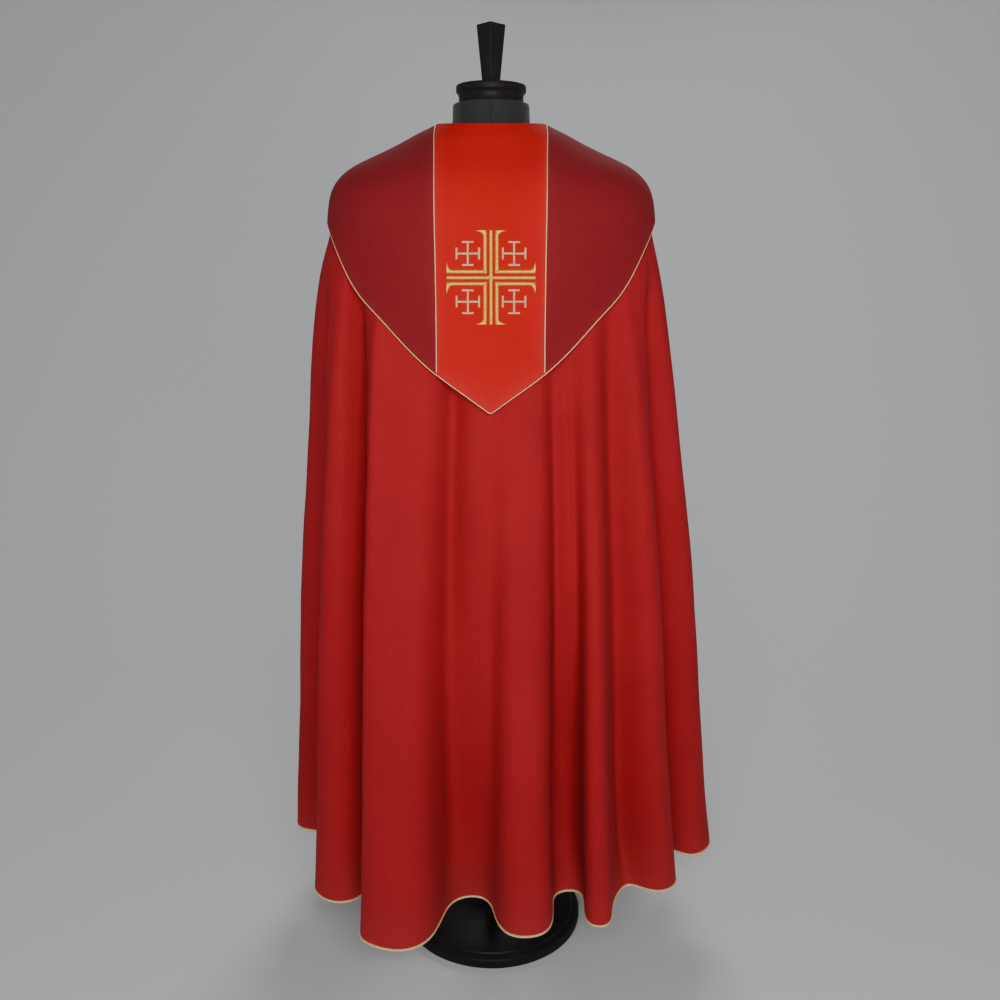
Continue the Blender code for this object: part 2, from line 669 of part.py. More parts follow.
def build_cope():
    red = material("mantle_cloth", (0.36, 0.022, 0.028), 0.85)
    dark_red = material("hood_cloth", (0.26, 0.016, 0.022), 0.85)
    bright_red = material("orphrey_cloth", (0.47, 0.024, 0.022), 0.8)
    gold = material("gold_cord", (0.62, 0.42, 0.18), 0.45, 0.3)
    pale_gold = material("pale_gold_thread", (0.78, 0.62, 0.36), 0.5, 0.2)
    brass = material("brass", (0.70, 0.52, 0.24), 0.3, 1.0)

    outer, inner = mantle_grids()
    add_shell("mantle", outer, inner, red)
    middle = 0.5 * (outer + inner)
    clearance = HEM_CORD_RADIUS + CORD_SEAT
    hem = edge_path(middle[-1], middle[-2], clearance)
    add_cord("hem_cord", hem, HEM_CORD_RADIUS, gold)
    for name, column, neighbour in (("front_cord_left", 0, 1), ("front_cord_right", -1, -2)):
        path = edge_path(middle[:, column], middle[:, neighbour], clearance)
        add_cord(name, path, HEM_CORD_RADIUS, gold)

    panels = {
        "hood_left": (panel_grids(side_rows(-1.0)), dark_red),
        "hood_orphrey": (panel_grids(orphrey_rows()), bright_red),
        "hood_right": (panel_grids(side_rows(1.0)), dark_red),
    }
    middles = {}
    for name, ((panel_outer, panel_inner), finish) in panels.items():
        add_shell(name, panel_outer, panel_inner, finish)
        middles[name] = 0.5 * (panel_outer + panel_inner)

    clearance = HOOD_CORD_RADIUS + CORD_SEAT
    left, centre, right = middles["hood_left"], middles["hood_orphrey"], middles["hood_right"]
    down_left = edge_path(left[:, -1], left[:, -2], clearance)
    across_tip = edge_path(centre[-1], centre[-2], clearance)[1:-1]
    up_right = edge_path(right[:, -1], right[:, -2], clearance)[::-1]
    add_cord("hood_cord", np.concatenate([down_left, across_tip, up_right]), HOOD_CORD_RADIUS, gold)

    for name, side in (("piping_left", -1.0), ("piping_right", 1.0)):
        lift = HOOD_WALL + PIPING_RADIUS + CORD_SEAT
        drops = hood_rows()
        drops[-1] -= PIPING_SHORTENING
        path = [hood_over(side * orphrey_half(drop), drop, lift) for drop in drops]
        add_cord(name, path, PIPING_RADIUS, gold)

    for name, outline in cross_outlines().items():
        add_stitching(name, outline, pale_gold if name.startswith("crosslet") else gold)

    columns = np.linspace(-MORSE_HALF_WIDTH, MORSE_HALF_WIDTH, MORSE_COLUMNS + 1)
    heights = np.linspace(MORSE_HIGH, MORSE_LOW, MORSE_ROWS + 1)
    strap_out = np.array([[front_point(x, z, MORSE_LIFT + HOOD_WALL) for x in columns] for z in heights])
    strap_in = np.array([[front_point(x, z, MORSE_LIFT) for x in columns] for z in heights])
    add_shell("morse", strap_out, strap_in, bright_red)
    for name, turn in (("morse_stud_upper", 1.0), ("morse_stud_lower", -1.0)):
        x, z = STUD_PLACE[0], 0.5 * (MORSE_LOW + MORSE_HIGH) + turn * STUD_PLACE[1]
        seat = front_point(x, z, MORSE_LIFT + HOOD_WALL + 2.0 * SEAM_GAP)
        out = unit(front_point(x, z, 0.01) - front_point(x, z, 0.0))
        across = unit(np.cross(out, (0.0, 0.0, 1.0)))
        up = np.cross(across, out)
        rings = []
        for radius, high in STUD_PROFILE:
            ring = []
            for k in range(STUD_SIDES):
                a = 2.0 * math.pi * k / STUD_SIDES
                reach = STUD_RADIUS * radius * (math.cos(a) * across + math.sin(a) * up)
                ring.append(seat + reach + out * STUD_HIGH * high)
            rings.append(ring)
        add_stack(name, rings, brass)


def build_form():
    black = material("form_cover", (0.012, 0.012, 0.013), 0.7)
    stain = material("dark_wood", (0.022, 0.014, 0.012), 0.35)
    rings = []
    for row in FORM_RINGS:
        values = dict(zip(FORM_COLUMNS, row))
        values["left"] = values["right"] = values["wide"]
        rings.append([ring_point(values, 360.0 * k / FORM_SIDES - 180.0) for k in range(FORM_SIDES)])
    add_stack("form_torso", rings, black)
    add_turned("neck_cap", CAP_PROFILE, stain)
    top_of_base = BASE_PROFILE[-1][1]
    add_turned("base", BASE_PROFILE, stain)
    pole = ((POLE_RADIUS, top_of_base + SEAM_GAP), (POLE_RADIUS, FORM_FOOT - SEAM_GAP))
    add_turned("pole", pole, stain, POLE_STEPS)
    rings = []
    for side, height in ((FINIAL_FOOT_SIDE, FINIAL_FOOT), (FINIAL_TOP_SIDE, FINIAL_TOP)):
        ring = []
        for k in range(4):
            a = math.radians(FINIAL_TURN + 45.0 + 90.0 * k)
            ring.append((side / math.sqrt(2.0) * math.cos(a), side / math.sqrt(2.0) * math.sin(a), height))
        rings.append(ring)
    add_stack("finial", rings, stain)


clear_scene()
build_form()
build_cope()
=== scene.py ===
import math

import bmesh
import bpy
import numpy as np
from mathutils import Matrix, Vector


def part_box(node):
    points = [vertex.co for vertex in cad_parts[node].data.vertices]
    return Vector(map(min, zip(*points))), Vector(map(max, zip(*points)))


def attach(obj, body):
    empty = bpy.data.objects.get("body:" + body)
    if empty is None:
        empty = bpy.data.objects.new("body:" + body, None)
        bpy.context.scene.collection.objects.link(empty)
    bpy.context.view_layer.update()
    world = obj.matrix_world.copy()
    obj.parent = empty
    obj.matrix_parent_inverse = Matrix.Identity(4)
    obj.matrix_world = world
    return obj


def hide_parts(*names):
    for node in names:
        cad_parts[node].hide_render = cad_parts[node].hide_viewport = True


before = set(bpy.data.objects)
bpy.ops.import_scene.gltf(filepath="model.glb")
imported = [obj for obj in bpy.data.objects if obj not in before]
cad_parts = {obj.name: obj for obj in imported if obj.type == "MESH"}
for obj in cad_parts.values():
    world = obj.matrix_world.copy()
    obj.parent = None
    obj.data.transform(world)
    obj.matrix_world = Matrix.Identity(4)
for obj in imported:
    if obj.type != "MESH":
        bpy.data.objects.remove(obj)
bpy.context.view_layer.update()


# ------------------------------------------------------------------ the studio
# A round studio: a pale floor that sweeps up all round into a pale wall, one camera behind the wearer at
# chest height, looking a little down, and soft light: a lamp beside and above the camera, weaker ones to the
# sides, one high in front, and a dim sky.

CAMERA_AT = (0.015, -1.80, 1.277)
CAMERA_PITCH = 13.0
CAMERA_LENS = 36.0
WALL_RADIUS = 4.6
SWEEP_RADIUS = 2.8
WALL_TOP = 4.0
FLOOR_RADII = (0.8, 1.8)
SWEEP_STEPS = 12
STUDIO_STEPS = 96


def principled(name):
    """A new material, its node tree and its shader."""
    made = bpy.data.materials.new(name)
    made.use_nodes = True
    return made, made.node_tree, made.node_tree.nodes["Principled BSDF"]


def mesh_object(name, points, faces, finish, smooth_angle):
    """A mesh object at the origin, from points and faces in the frame's metres."""
    mesh = bpy.data.meshes.new(name)
    mesh.from_pydata(np.asarray(points, float).tolist(), [], faces)
    mesh.materials.append(finish)
    made = bpy.data.objects.new(name, mesh)
    bpy.context.scene.collection.objects.link(made)
    mesh.shade_smooth()
    mesh.set_sharp_from_angle(angle=math.radians(smooth_angle))
    return made


def tube_faces(rows, columns):
    """The quads round a stack of rings of points, and the face that closes each end."""
    index = np.arange(rows * columns).reshape(rows, columns)
    a, d = index[:-1], index[1:]
    quads = np.stack([a, np.roll(a, -1, 1), np.roll(d, -1, 1), d], axis=-1).reshape(-1, 4)
    return quads, (index[0, ::-1], index[-1])


backdrop_paint, _, backdrop_shader = principled("backdrop_paint")
backdrop_shader.inputs["Base Color"].default_value = (0.62, 0.63, 0.64, 1.0)
backdrop_shader.inputs["Roughness"].default_value = 0.9
profile = [(radius, 0.0) for radius in (*FLOOR_RADII, WALL_RADIUS - SWEEP_RADIUS)]
for k in range(1, SWEEP_STEPS + 1):
    turn = math.radians(90.0 * k / SWEEP_STEPS)
    radius = WALL_RADIUS - SWEEP_RADIUS + SWEEP_RADIUS * math.sin(turn)
    profile.append((radius, SWEEP_RADIUS * (1.0 - math.cos(turn))))
profile.append((WALL_RADIUS, WALL_TOP))
turns = 2.0 * math.pi * np.arange(STUDIO_STEPS) / STUDIO_STEPS
studio_points = [(r * math.cos(a), r * math.sin(a), z) for r, z in profile for a in turns]
quads, (underside, _) = tube_faces(len(profile), STUDIO_STEPS)
studio_faces = [underside[::-1].tolist()] + quads[:, [1, 0, 3, 2]].tolist()
backdrop = mesh_object("studio_floor", studio_points, studio_faces, backdrop_paint, smooth_angle=60.0)

camera_data = bpy.data.cameras.new("camera")
camera_data.lens = CAMERA_LENS
camera_data.sensor_width = 36.0
camera_data.clip_start = 0.01
camera = bpy.data.objects.new("camera", camera_data)
camera.location = CAMERA_AT
camera.rotation_euler = (math.radians(90.0 - CAMERA_PITCH), 0.0, 0.0)
bpy.context.scene.collection.objects.link(camera)
bpy.context.scene.camera = camera

# name, place, what it looks at, width and height, watts
LAMPS = (
    ("lamp_by_camera", (0.08, -2.10, 1.50), (0.0, 0.0, 1.70), (1.2, 0.8), 47.5),
    ("lamp_left", (-3.0, -0.6, 1.5), (0.0, 0.0, 0.9), (1.0, 1.4), 6.0),
    ("lamp_right", (3.0, -0.4, 1.5), (0.0, 0.0, 0.9), (1.0, 1.4), 5.0),
    ("lamp_front", (0.5, 3.5, 4.2), (0.0, 0.0, 0.9), (2.2, 1.6), 100.0),
)
for name, place, target, size, watts in LAMPS:
    lamp_data = bpy.data.lights.new(name, "AREA")
    lamp_data.shape = "RECTANGLE"
    lamp_data.size, lamp_data.size_y = size
    lamp_data.energy = watts
    lamp = bpy.data.objects.new(name, lamp_data)
    lamp.location = place
    lamp.rotation_euler = (Vector(target) - Vector(place)).to_track_quat("-Z", "Y").to_euler()
    lamp.visible_camera = False
    bpy.context.scene.collection.objects.link(lamp)

world = bpy.data.worlds.new("studio_sky")
world.use_nodes = True
world.node_tree.nodes["Background"].inputs["Color"].default_value = (0.80, 0.82, 0.85, 1.0)
world.node_tree.nodes["Background"].inputs["Strength"].default_value = 0.12
bpy.context.scene.world = world


# ------------------------------------------------------------------ the stand
# A turned wooden base and a plain round pole that carry the dress form, stained nearly black and lacquered.
# The base is turned in one piece with a collar for the pole; the pole is a dowel pushed into the collar.

POLE_RADIUS = 0.0165
WOOD_COLOUR = (0.0085, 0.0068, 0.0068)
WOOD_WORN_COLOUR = (0.040, 0.026, 0.020)
BASE_STEPS = 160
# Radius and height of each turn of the base, from its underside up.
BASE_TURNS = (
    (0.1660, 0.0000), (0.1722, 0.0006), (0.1739, 0.0022), (0.1745, 0.0045), (0.1745, 0.0155),
    (0.1739, 0.0180), (0.1722, 0.0198), (0.1700, 0.0206), (0.1650, 0.0211), (0.1622, 0.0218),
    (0.1606, 0.0236), (0.1592, 0.0256), (0.1560, 0.0266), (0.1200, 0.0290), (0.0800, 0.0318),
    (0.0600, 0.0342), (0.0480, 0.0382), (0.0395, 0.0430), (0.0345, 0.0490), (0.0312, 0.0560),
    (0.0296, 0.0590), (0.0270, 0.0610), (0.0230, 0.0620),
)
POLE_STEPS = 64
POLE_CHAMFER = 0.0008
TURNED_SMOOTH_ANGLE = 35.0


def feed(tree, socket, value):
    """Gives an input its value: a number, a tuple, or a socket that it is linked to."""
    if isinstance(value, bpy.types.NodeSocket):
        tree.links.new(value, socket)
    else:
        socket.default_value = value


def node_output(tree, kind, inputs=(), output=0, **settings):
    """Adds a shader node with its settings, feeds its inputs, and gives one of its outputs."""
    made = tree.nodes.new(kind)
    for key, value in settings.items():
        setattr(made, key, value)
    for key, value in dict(inputs).items():
        feed(tree, made.inputs[key], value)
    return made.outputs[output]


def calc(tree, operation, *values):
    """A sum on numbers or sockets."""
    return node_output(tree, "ShaderNodeMath", enumerate(values), operation=operation)


def mixed(tree, share, *colours):
    """A colour between two."""
    colours = [(*colour, 1.0) if isinstance(colour, tuple) else colour for colour in colours]
    return node_output(tree, "ShaderNodeMix", zip((0, 6, 7), (share, *colours)), 2, data_type="RGBA")


def noise(tree, place, scale, detail):
    return node_output(tree, "ShaderNodeTexNoise", {"Vector": place, "Scale": scale, "Detail": detail})


def ramp(tree, value, low, high, **settings):
    """0 up to low, and 1 from high."""
    return node_output(tree, "ShaderNodeMapRange", {"Value": value, 1: low, 2: high}, **settings)


def object_place(tree):
    return node_output(tree, "ShaderNodeTexCoord", output="Object")


def attribute(tree, name):
    """A number that each point of the mesh carries."""
    return node_output(tree, "ShaderNodeAttribute", output="Fac", attribute_name=name)


def surface(tree, shader, colour, roughness, height, distance, strength):
    """Wires a shader's colour and roughness, and a bump from a height in shares of a distance."""
    bump = {"Height": height, "Distance": distance, "Strength": strength}
    tree.links.new(colour, shader.inputs["Base Color"])
    tree.links.new(roughness, shader.inputs["Roughness"])
    tree.links.new(node_output(tree, "ShaderNodeBump", bump), shader.inputs["Normal"])


def node_group(name, inputs, outputs):
    """A shader node group, its inputs and its outputs: None is a vector, a number is an input's own value."""
    group = bpy.data.node_groups.new(name, "ShaderNodeTree")
    for socket, value in inputs.items():
        kind = "NodeSocketVector" if value is None else "NodeSocketFloat"
        made = group.interface.new_socket(name=socket, in_out="INPUT", socket_type=kind)
        if value is not None:
            made.default_value = value
    for socket in outputs:
        group.interface.new_socket(name=socket, in_out="OUTPUT", socket_type="NodeSocketFloat")
    return group, group.nodes.new("NodeGroupInput").outputs, group.nodes.new("NodeGroupOutput").inputs


def use_group(tree, group, **inputs):
    """Places a group in a material, and gives its outputs."""
    made = tree.nodes.new("ShaderNodeGroup")
    made.node_tree = group
    for key, value in inputs.items():
        feed(tree, made.inputs[key.capitalize()], value)
    return made.outputs


# Long fibres and pores of wood, along the Z of the vector that it is given.
wood_grain, ins, outs = node_group("wood_grain", {"Vector": None, "Fineness": 90.0}, ("Tone", "Height"))
stretched = node_output(
    wood_grain, "ShaderNodeVectorMath", {0: ins["Vector"], 1: (1.0, 1.0, 0.06)}, operation="MULTIPLY"
)
fibre = noise(wood_grain, stretched, ins["Fineness"], 5.0)
pores = noise(wood_grain, stretched, calc(wood_grain, "MULTIPLY", ins["Fineness"], 9.0), 2.0)
pore_mask = ramp(wood_grain, pores, 0.56, 0.68)
wood_grain.links.new(fibre, outs["Tone"])
wood_grain.links.new(calc(wood_grain, "MULTIPLY_ADD", pore_mask, -0.7, fibre), outs["Height"])

# Where corners stand proud, and so are rubbed: 1 on the sharpest, broken up by a fine noise.
edge_wear, ins, outs = node_group("edge_wear", {"Vector": None, "Onset": 0.53, "Full": 0.62}, ("Mask",))
pointed = node_output(edge_wear, "ShaderNodeNewGeometry", output="Pointiness")
proud = ramp(edge_wear, pointed, ins["Onset"], ins["Full"], interpolation_type="SMOOTHSTEP")
patch_mask = ramp(edge_wear, noise(edge_wear, ins["Vector"], 55.0, 4.0), 0.38, 0.66)
edge_wear.links.new(calc(edge_wear, "MULTIPLY", proud, patch_mask), outs["Mask"])


def dark_wood(name, along):
    """Stained, lacquered wood with its grain along one axis of the frame."""
    finish, tree, shader = principled(name)
    place = object_place(tree)
    laid = {"X": (0.0, math.radians(90.0), 0.0), "Z": (0.0, 0.0, 0.0)}
    lie = node_output(tree, "ShaderNodeMapping", {"Vector": place, "Rotation": laid[along]})
    grain = use_group(tree, wood_grain, vector=lie, fineness=70.0)
    wear = use_group(tree, edge_wear, vector=place)["Mask"]
    stain = mixed(tree, grain["Tone"], WOOD_COLOUR, tuple(2.1 * c for c in WOOD_COLOUR))
    shade = mixed(tree, calc(tree, "MULTIPLY", wear, 0.7), stain, WOOD_WORN_COLOUR)
    dusty = calc(tree, "MULTIPLY_ADD", noise(tree, place, 9.0, 6.0), 0.30, 0.32)
    rough = calc(tree, "MULTIPLY_ADD", wear, 0.2, dusty)
    surface(tree, shader, shade, rough, grain["Height"], 0.0004, 0.45)
    shader.inputs["Coat Weight"].default_value = 0.02
    shader.inputs["Coat Roughness"].default_value = 0.22
    shader.inputs["Specular IOR Level"].default_value = 0.07
    return finish


def turned_piece(name, turns, steps, finish):
    """A round piece: a filled circle, drawn up and resized to each turn of its profile in edit mode."""
    bpy.ops.object.select_all(action="DESELECT")
    radius, height = turns[0]
    bpy.ops.mesh.primitive_circle_add(
        vertices=steps, radius=radius, fill_type="NGON", location=(0.0, 0.0, height), enter_editmode=True
    )
    made = bpy.context.object
    made.name = name
    for wider, higher in turns[1:]:
        bpy.ops.mesh.extrude_region_move(TRANSFORM_OT_translate={"value": (0.0, 0.0, higher - height)})
        share = wider / radius
        bpy.ops.transform.resize(value=(share, share, 1.0), center_override=(0.0, 0.0, higher))
        radius, height = wider, higher
    bpy.ops.mesh.select_all(action="SELECT")
    bpy.ops.mesh.normals_make_consistent(inside=False)
    bpy.ops.object.mode_set(mode="OBJECT")
    bpy.ops.object.transform_apply(location=True, rotation=True, scale=True)
    made.data.materials.append(finish)
    bpy.ops.object.shade_smooth_by_angle(angle=math.radians(TURNED_SMOOTH_ANGLE))
    return made


def fit(piece, slot, *nodes):
    """Puts a finished piece in its node's place."""
    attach(piece, "root")
    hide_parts(*nodes)


base_wood = dark_wood("base_wood", "X")
base = turned_piece("stand_base", BASE_TURNS, BASE_STEPS, base_wood)
fit(base, "dark_wood", "base")

pole_wood = dark_wood("pole_wood", "Z")
pole_foot, pole_head = (corner[2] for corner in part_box("pole"))
pole_turns = [(POLE_RADIUS - POLE_CHAMFER, pole_foot), (POLE_RADIUS, pole_foot + POLE_CHAMFER)]
for share in (0.2, 0.4, 0.6, 0.8):
    pole_turns.append((POLE_RADIUS, pole_foot + share * (pole_head - pole_foot)))
pole_turns += [(POLE_RADIUS, pole_head - POLE_CHAMFER), (POLE_RADIUS - POLE_CHAMFER, pole_head)]
pole = turned_piece("stand_pole", pole_turns, POLE_STEPS, pole_wood)
fit(pole, "dark_wood", "pole")


# ------------------------------------------------------------------ the dress form
# A limbless torso: a light moulded shell under a tight cover of black cotton jersey, cut in panels whose
# seams run down the middles, the princess lines and the sides. Its foot is a flat board.

# Rings from the neck down: half-width, depth behind and before, heights at the side, back and front, and how
# square the ring is (2 is an ellipse).
FORM_RINGS = (
    (0.0620, 0.0620, 0.0620, 1.5470, 1.547, 1.547, 2.00),
    (0.0650, 0.0650, 0.0650, 1.5430, 1.543, 1.543, 2.00),
    (0.0660, 0.0665, 0.0660, 1.5200, 1.517, 1.510, 2.00),
    (0.0725, 0.0730, 0.0690, 1.5030, 1.496, 1.480, 2.00),
    (0.0900, 0.0830, 0.0770, 1.4955, 1.482, 1.459, 2.05),
    (0.1250, 0.0960, 0.0900, 1.4900, 1.466, 1.434, 2.10),
    (0.1570, 0.1070, 0.0990, 1.4743, 1.446, 1.412, 2.15),
    (0.1900, 0.1200, 0.1100, 1.4590, 1.413, 1.380, 2.30),
    (0.2080, 0.1280, 0.1180, 1.4400, 1.380, 1.350, 2.40),
    (0.2150, 0.1320, 0.1230, 1.4050, 1.345, 1.320, 2.45),
    (0.2060, 0.1300, 0.1290, 1.3000, 1.295, 1.285, 2.35),
    (0.1880, 0.1200, 0.1250, 1.2100, 1.210, 1.210, 2.25),
    (0.1660, 0.1050, 0.1100, 1.0900, 1.090, 1.090, 2.15),
    (0.1760, 0.1150, 0.1130, 0.9800, 0.980, 0.980, 2.15),
    (0.1850, 0.1230, 0.1140, 0.8700, 0.870, 0.870, 2.15),
    (0.1820, 0.1200, 0.1110, 0.8050, 0.805, 0.805, 2.15),
    (0.1700, 0.1090, 0.1010, 0.7900, 0.790, 0.790, 2.15),
)
FORM_SIDES = 240
ROWS_PER_RING = 10
SEAM_BEARINGS = (-180.0, -138.0, -90.0, -42.0, 0.0, 42.0, 90.0, 138.0)
SEAM_HALF_WIDTH = 0.0016
SEAM_DEPTH = 0.0009
RIDGE_SHARPNESS = 1.3
COVER_COLOUR = (0.0085, 0.0085, 0.0095)


def unit(vectors):
    return vectors / np.linalg.norm(vectors, axis=-1, keepdims=True)


def ease(share):
    """0 up to 0, 1 from 1, and an even curve between."""
    share = np.clip(share, 0.0, 1.0)
    return share * share * (3.0 - 2.0 * share)


def spline(places, values):
    """A natural cubic through values, one row for each place, as a function of an array of places."""
    x = np.asarray(places, float)
    y = np.asarray(values, float).reshape(len(x), -1)
    step = np.diff(x)
    matrix = np.eye(len(x))
    right = np.zeros_like(y)
    for k in range(1, len(x) - 1):
        matrix[k, k - 1 : k + 2] = step[k - 1], 2.0 * (step[k - 1] + step[k]), step[k]
        right[k] = 6.0 * ((y[k + 1] - y[k]) / step[k] - (y[k] - y[k - 1]) / step[k - 1])
    bend = np.linalg.solve(matrix, right)

    def at(place):
        place = np.asarray(place, float)
        k = np.clip(np.searchsorted(x, place) - 1, 0, len(x) - 2)
        h = step[k][..., None]
        a = (x[k + 1] - place)[..., None] / h
        b = 1.0 - a
        return a * y[k] + b * y[k + 1] + ((a**3 - a) * bend[k] + (b**3 - b) * bend[k + 1]) * h * h / 6.0

    return at


def lengths_along(points):
    """How far each point of a path is from its first one."""
    return np.concatenate([[0.0], np.cumsum(np.linalg.norm(np.diff(points, axis=0), axis=1))])


def ring_point(ring, bearing):
    """Points of rings at bearings in degrees: 0 is the centre back, and 90 the side towards +X."""
    left, right, back, front, z_side, z_back, z_front, square = np.moveaxis(ring, -1, 0)
    s, c = np.sin(np.radians(bearing)), np.cos(np.radians(bearing))
    x = np.sign(s) * np.where(s < 0.0, left, right) * np.abs(s) ** (2.0 / square)
    y = np.where(c > 0.0, -back, front) * np.abs(c) ** (2.0 / square)
    z = z_side + (np.where(c > 0.0, z_back, z_front) - z_side) * np.abs(c) ** RIDGE_SHARPNESS
    return np.stack(np.broadcast_arrays(x, y, z), axis=-1)


def closed_stack(name, rings, finish, smooth_angle):
    """A solid from a stack of rings of points, each turning the same way, with a face at each end."""
    quads, ends = tube_faces(*rings.shape[:2])
    faces = quads.tolist() + [end.tolist() for end in ends]
    made = mesh_object(name, rings.reshape(-1, 3), faces, finish, smooth_angle)
    turn_faces_out(made)
    return made


def turn_faces_out(piece):
    shape = bmesh.new()
    shape.from_mesh(piece.data)
    if shape.calc_volume(signed=True) < 0.0:
        bmesh.ops.reverse_faces(shape, faces=shape.faces[:])
    shape.to_mesh(piece.data)
    shape.free()


def point_values(piece, name, values):
    """Writes one number for each point of a mesh, for its material to read."""
    made = piece.data.attributes.new(name, "FLOAT", "POINT")
    made.data.foreach_set("value", np.asarray(values, np.float32).ravel())


form_table = np.array([(row[0], *row) for row in FORM_RINGS])
form_ring_at = spline(np.arange(len(FORM_RINGS)), form_table)
last_ring = len(FORM_RINGS) - 1
form_rows = form_ring_at(np.linspace(0.0, last_ring, ROWS_PER_RING * last_ring + 1))
form_bearings = np.linspace(-180.0, 180.0, FORM_SIDES, endpoint=False)
form_points = ring_point(form_rows[:, None], form_bearings[None])
across = np.roll(form_points, -1, 1) - np.roll(form_points, 1, 1)
down = np.gradient(form_points, axis=0)
form_normals = unit(np.cross(down, across))
off_seam = np.full(form_points.shape[:2], 1.0)
for bearing in SEAM_BEARINGS:
    apart = np.abs((form_bearings - bearing + 180.0) % 360.0 - 180.0)
    metres = np.radians(apart)[None] * np.linalg.norm(form_points[..., :2], axis=-1)
    off_seam = np.minimum(off_seam, metres)
seam = np.exp(-((off_seam / SEAM_HALF_WIDTH) ** 2))
form_points = form_points - form_normals * (SEAM_DEPTH * seam)[..., None]

form_cover, tree, shader = principled("form_jersey")
place = object_place(tree)
knit = node_output(
    tree, "ShaderNodeTexWave",
    {"Vector": place, "Scale": 160.0, "Distortion": 2.0, "Detail": 1.0, "Detail Scale": 40.0},
    output="Fac", bands_direction="Z",
)
lint = noise(tree, place, 240.0, 3.0)
linty = calc(tree, "MULTIPLY", ramp(tree, lint, 0.66, 0.80), 0.25)
shade = mixed(tree, linty, COVER_COLOUR, (0.05, 0.05, 0.055))
shade = mixed(tree, attribute(tree, "seam"), shade, (0.003, 0.003, 0.003))
surface(tree, shader, shade, calc(tree, "MULTIPLY_ADD", lint, 0.16, 0.74), knit, 0.00025, 0.35)
shader.inputs["Sheen Weight"].default_value = 0.12
form = closed_stack("form_body", form_points, form_cover, smooth_angle=50.0)
point_values(form, "seam", seam)
fit(form, "form_cover", "form_torso")


# ------------------------------------------------------------------ the neck cap and finial
# A turned cap closes the form's neck, and a square tapered peg stands in it, the handle that the form is
# lifted by. Both are of the stand's stained wood.

# Radius and height of each turn of the cap, from its foot up.
CAP_TURNS = (
    (0.0550, 1.5473), (0.0560, 1.5480), (0.0557, 1.5495), (0.0548, 1.5520), (0.0545, 1.5555),
    (0.0548, 1.5595), (0.0556, 1.5628), (0.0566, 1.5648), (0.0582, 1.5658), (0.0590, 1.5670),
    (0.0592, 1.5685), (0.0592, 1.5745), (0.0590, 1.5762), (0.0584, 1.5773), (0.0574, 1.5779),
    (0.0560, 1.5780), (0.0300, 1.5780), (0.0290, 1.5776),
)
CAP_STEPS = 128
FINIAL_FOOT = 1.5783
FINIAL_TOP = 1.674
FINIAL_FOOT_SIDE = 0.0215
FINIAL_TOP_SIDE = 0.0352
FINIAL_TURN = 42.0
FINIAL_EDGE = 0.0016
FINIAL_EDGE_STEPS = 4

cap_wood = dark_wood("cap_wood", "X")
cap = turned_piece("form_neck_cap", CAP_TURNS, CAP_STEPS, cap_wood)
fit(cap, "dark_wood", "neck_cap")

bpy.ops.object.select_all(action="DESELECT")
bpy.ops.mesh.primitive_cube_add(
    size=1.0,
    location=(0.0, 0.0, 0.5 * (FINIAL_FOOT + FINIAL_TOP)),
    rotation=(0.0, 0.0, math.radians(FINIAL_TURN)),
    scale=(FINIAL_FOOT_SIDE, FINIAL_FOOT_SIDE, FINIAL_TOP - FINIAL_FOOT),
)
finial = bpy.context.object
finial.name = "form_finial"
bpy.ops.object.transform_apply(location=True, rotation=True, scale=True)
bpy.ops.object.mode_set(mode="EDIT")
bpy.ops.mesh.select_mode(type="FACE")
bpy.ops.mesh.select_all(action="DESELECT")
shape = bmesh.from_edit_mesh(finial.data)
for face in shape.faces:
    face.select_set(face.normal.z > 0.9)
bmesh.update_edit_mesh(finial.data)
wider = FINIAL_TOP_SIDE / FINIAL_FOOT_SIDE
bpy.ops.transform.resize(value=(wider, wider, 1.0), center_override=(0.0, 0.0, FINIAL_TOP))
bpy.ops.object.mode_set(mode="OBJECT")
rounding = finial.modifiers.new("rounding", "BEVEL")
rounding.width = FINIAL_EDGE
rounding.segments = FINIAL_EDGE_STEPS
bpy.ops.object.modifier_apply(modifier="rounding")
finial.data.materials.append(dark_wood("finial_wood", "Z"))
bpy.ops.object.shade_smooth_by_angle(angle=math.radians(TURNED_SMOOTH_ANGLE))
fit(finial, "dark_wood", "finial")


# ------------------------------------------------------------------ the mantle
# The cloak itself: nearly a semicircle of fine red wool twill with a round neck cut. It rests on the form's
# shoulders, lies smooth over the back down to the yoke line, and falls below it in soft cones to the hem.
# A place on it is metres along the hem from the left front edge; a drop is metres down from the neckline.

MANTLE_WALL = 0.0018
FRONT_GAP_HALF = 0.046

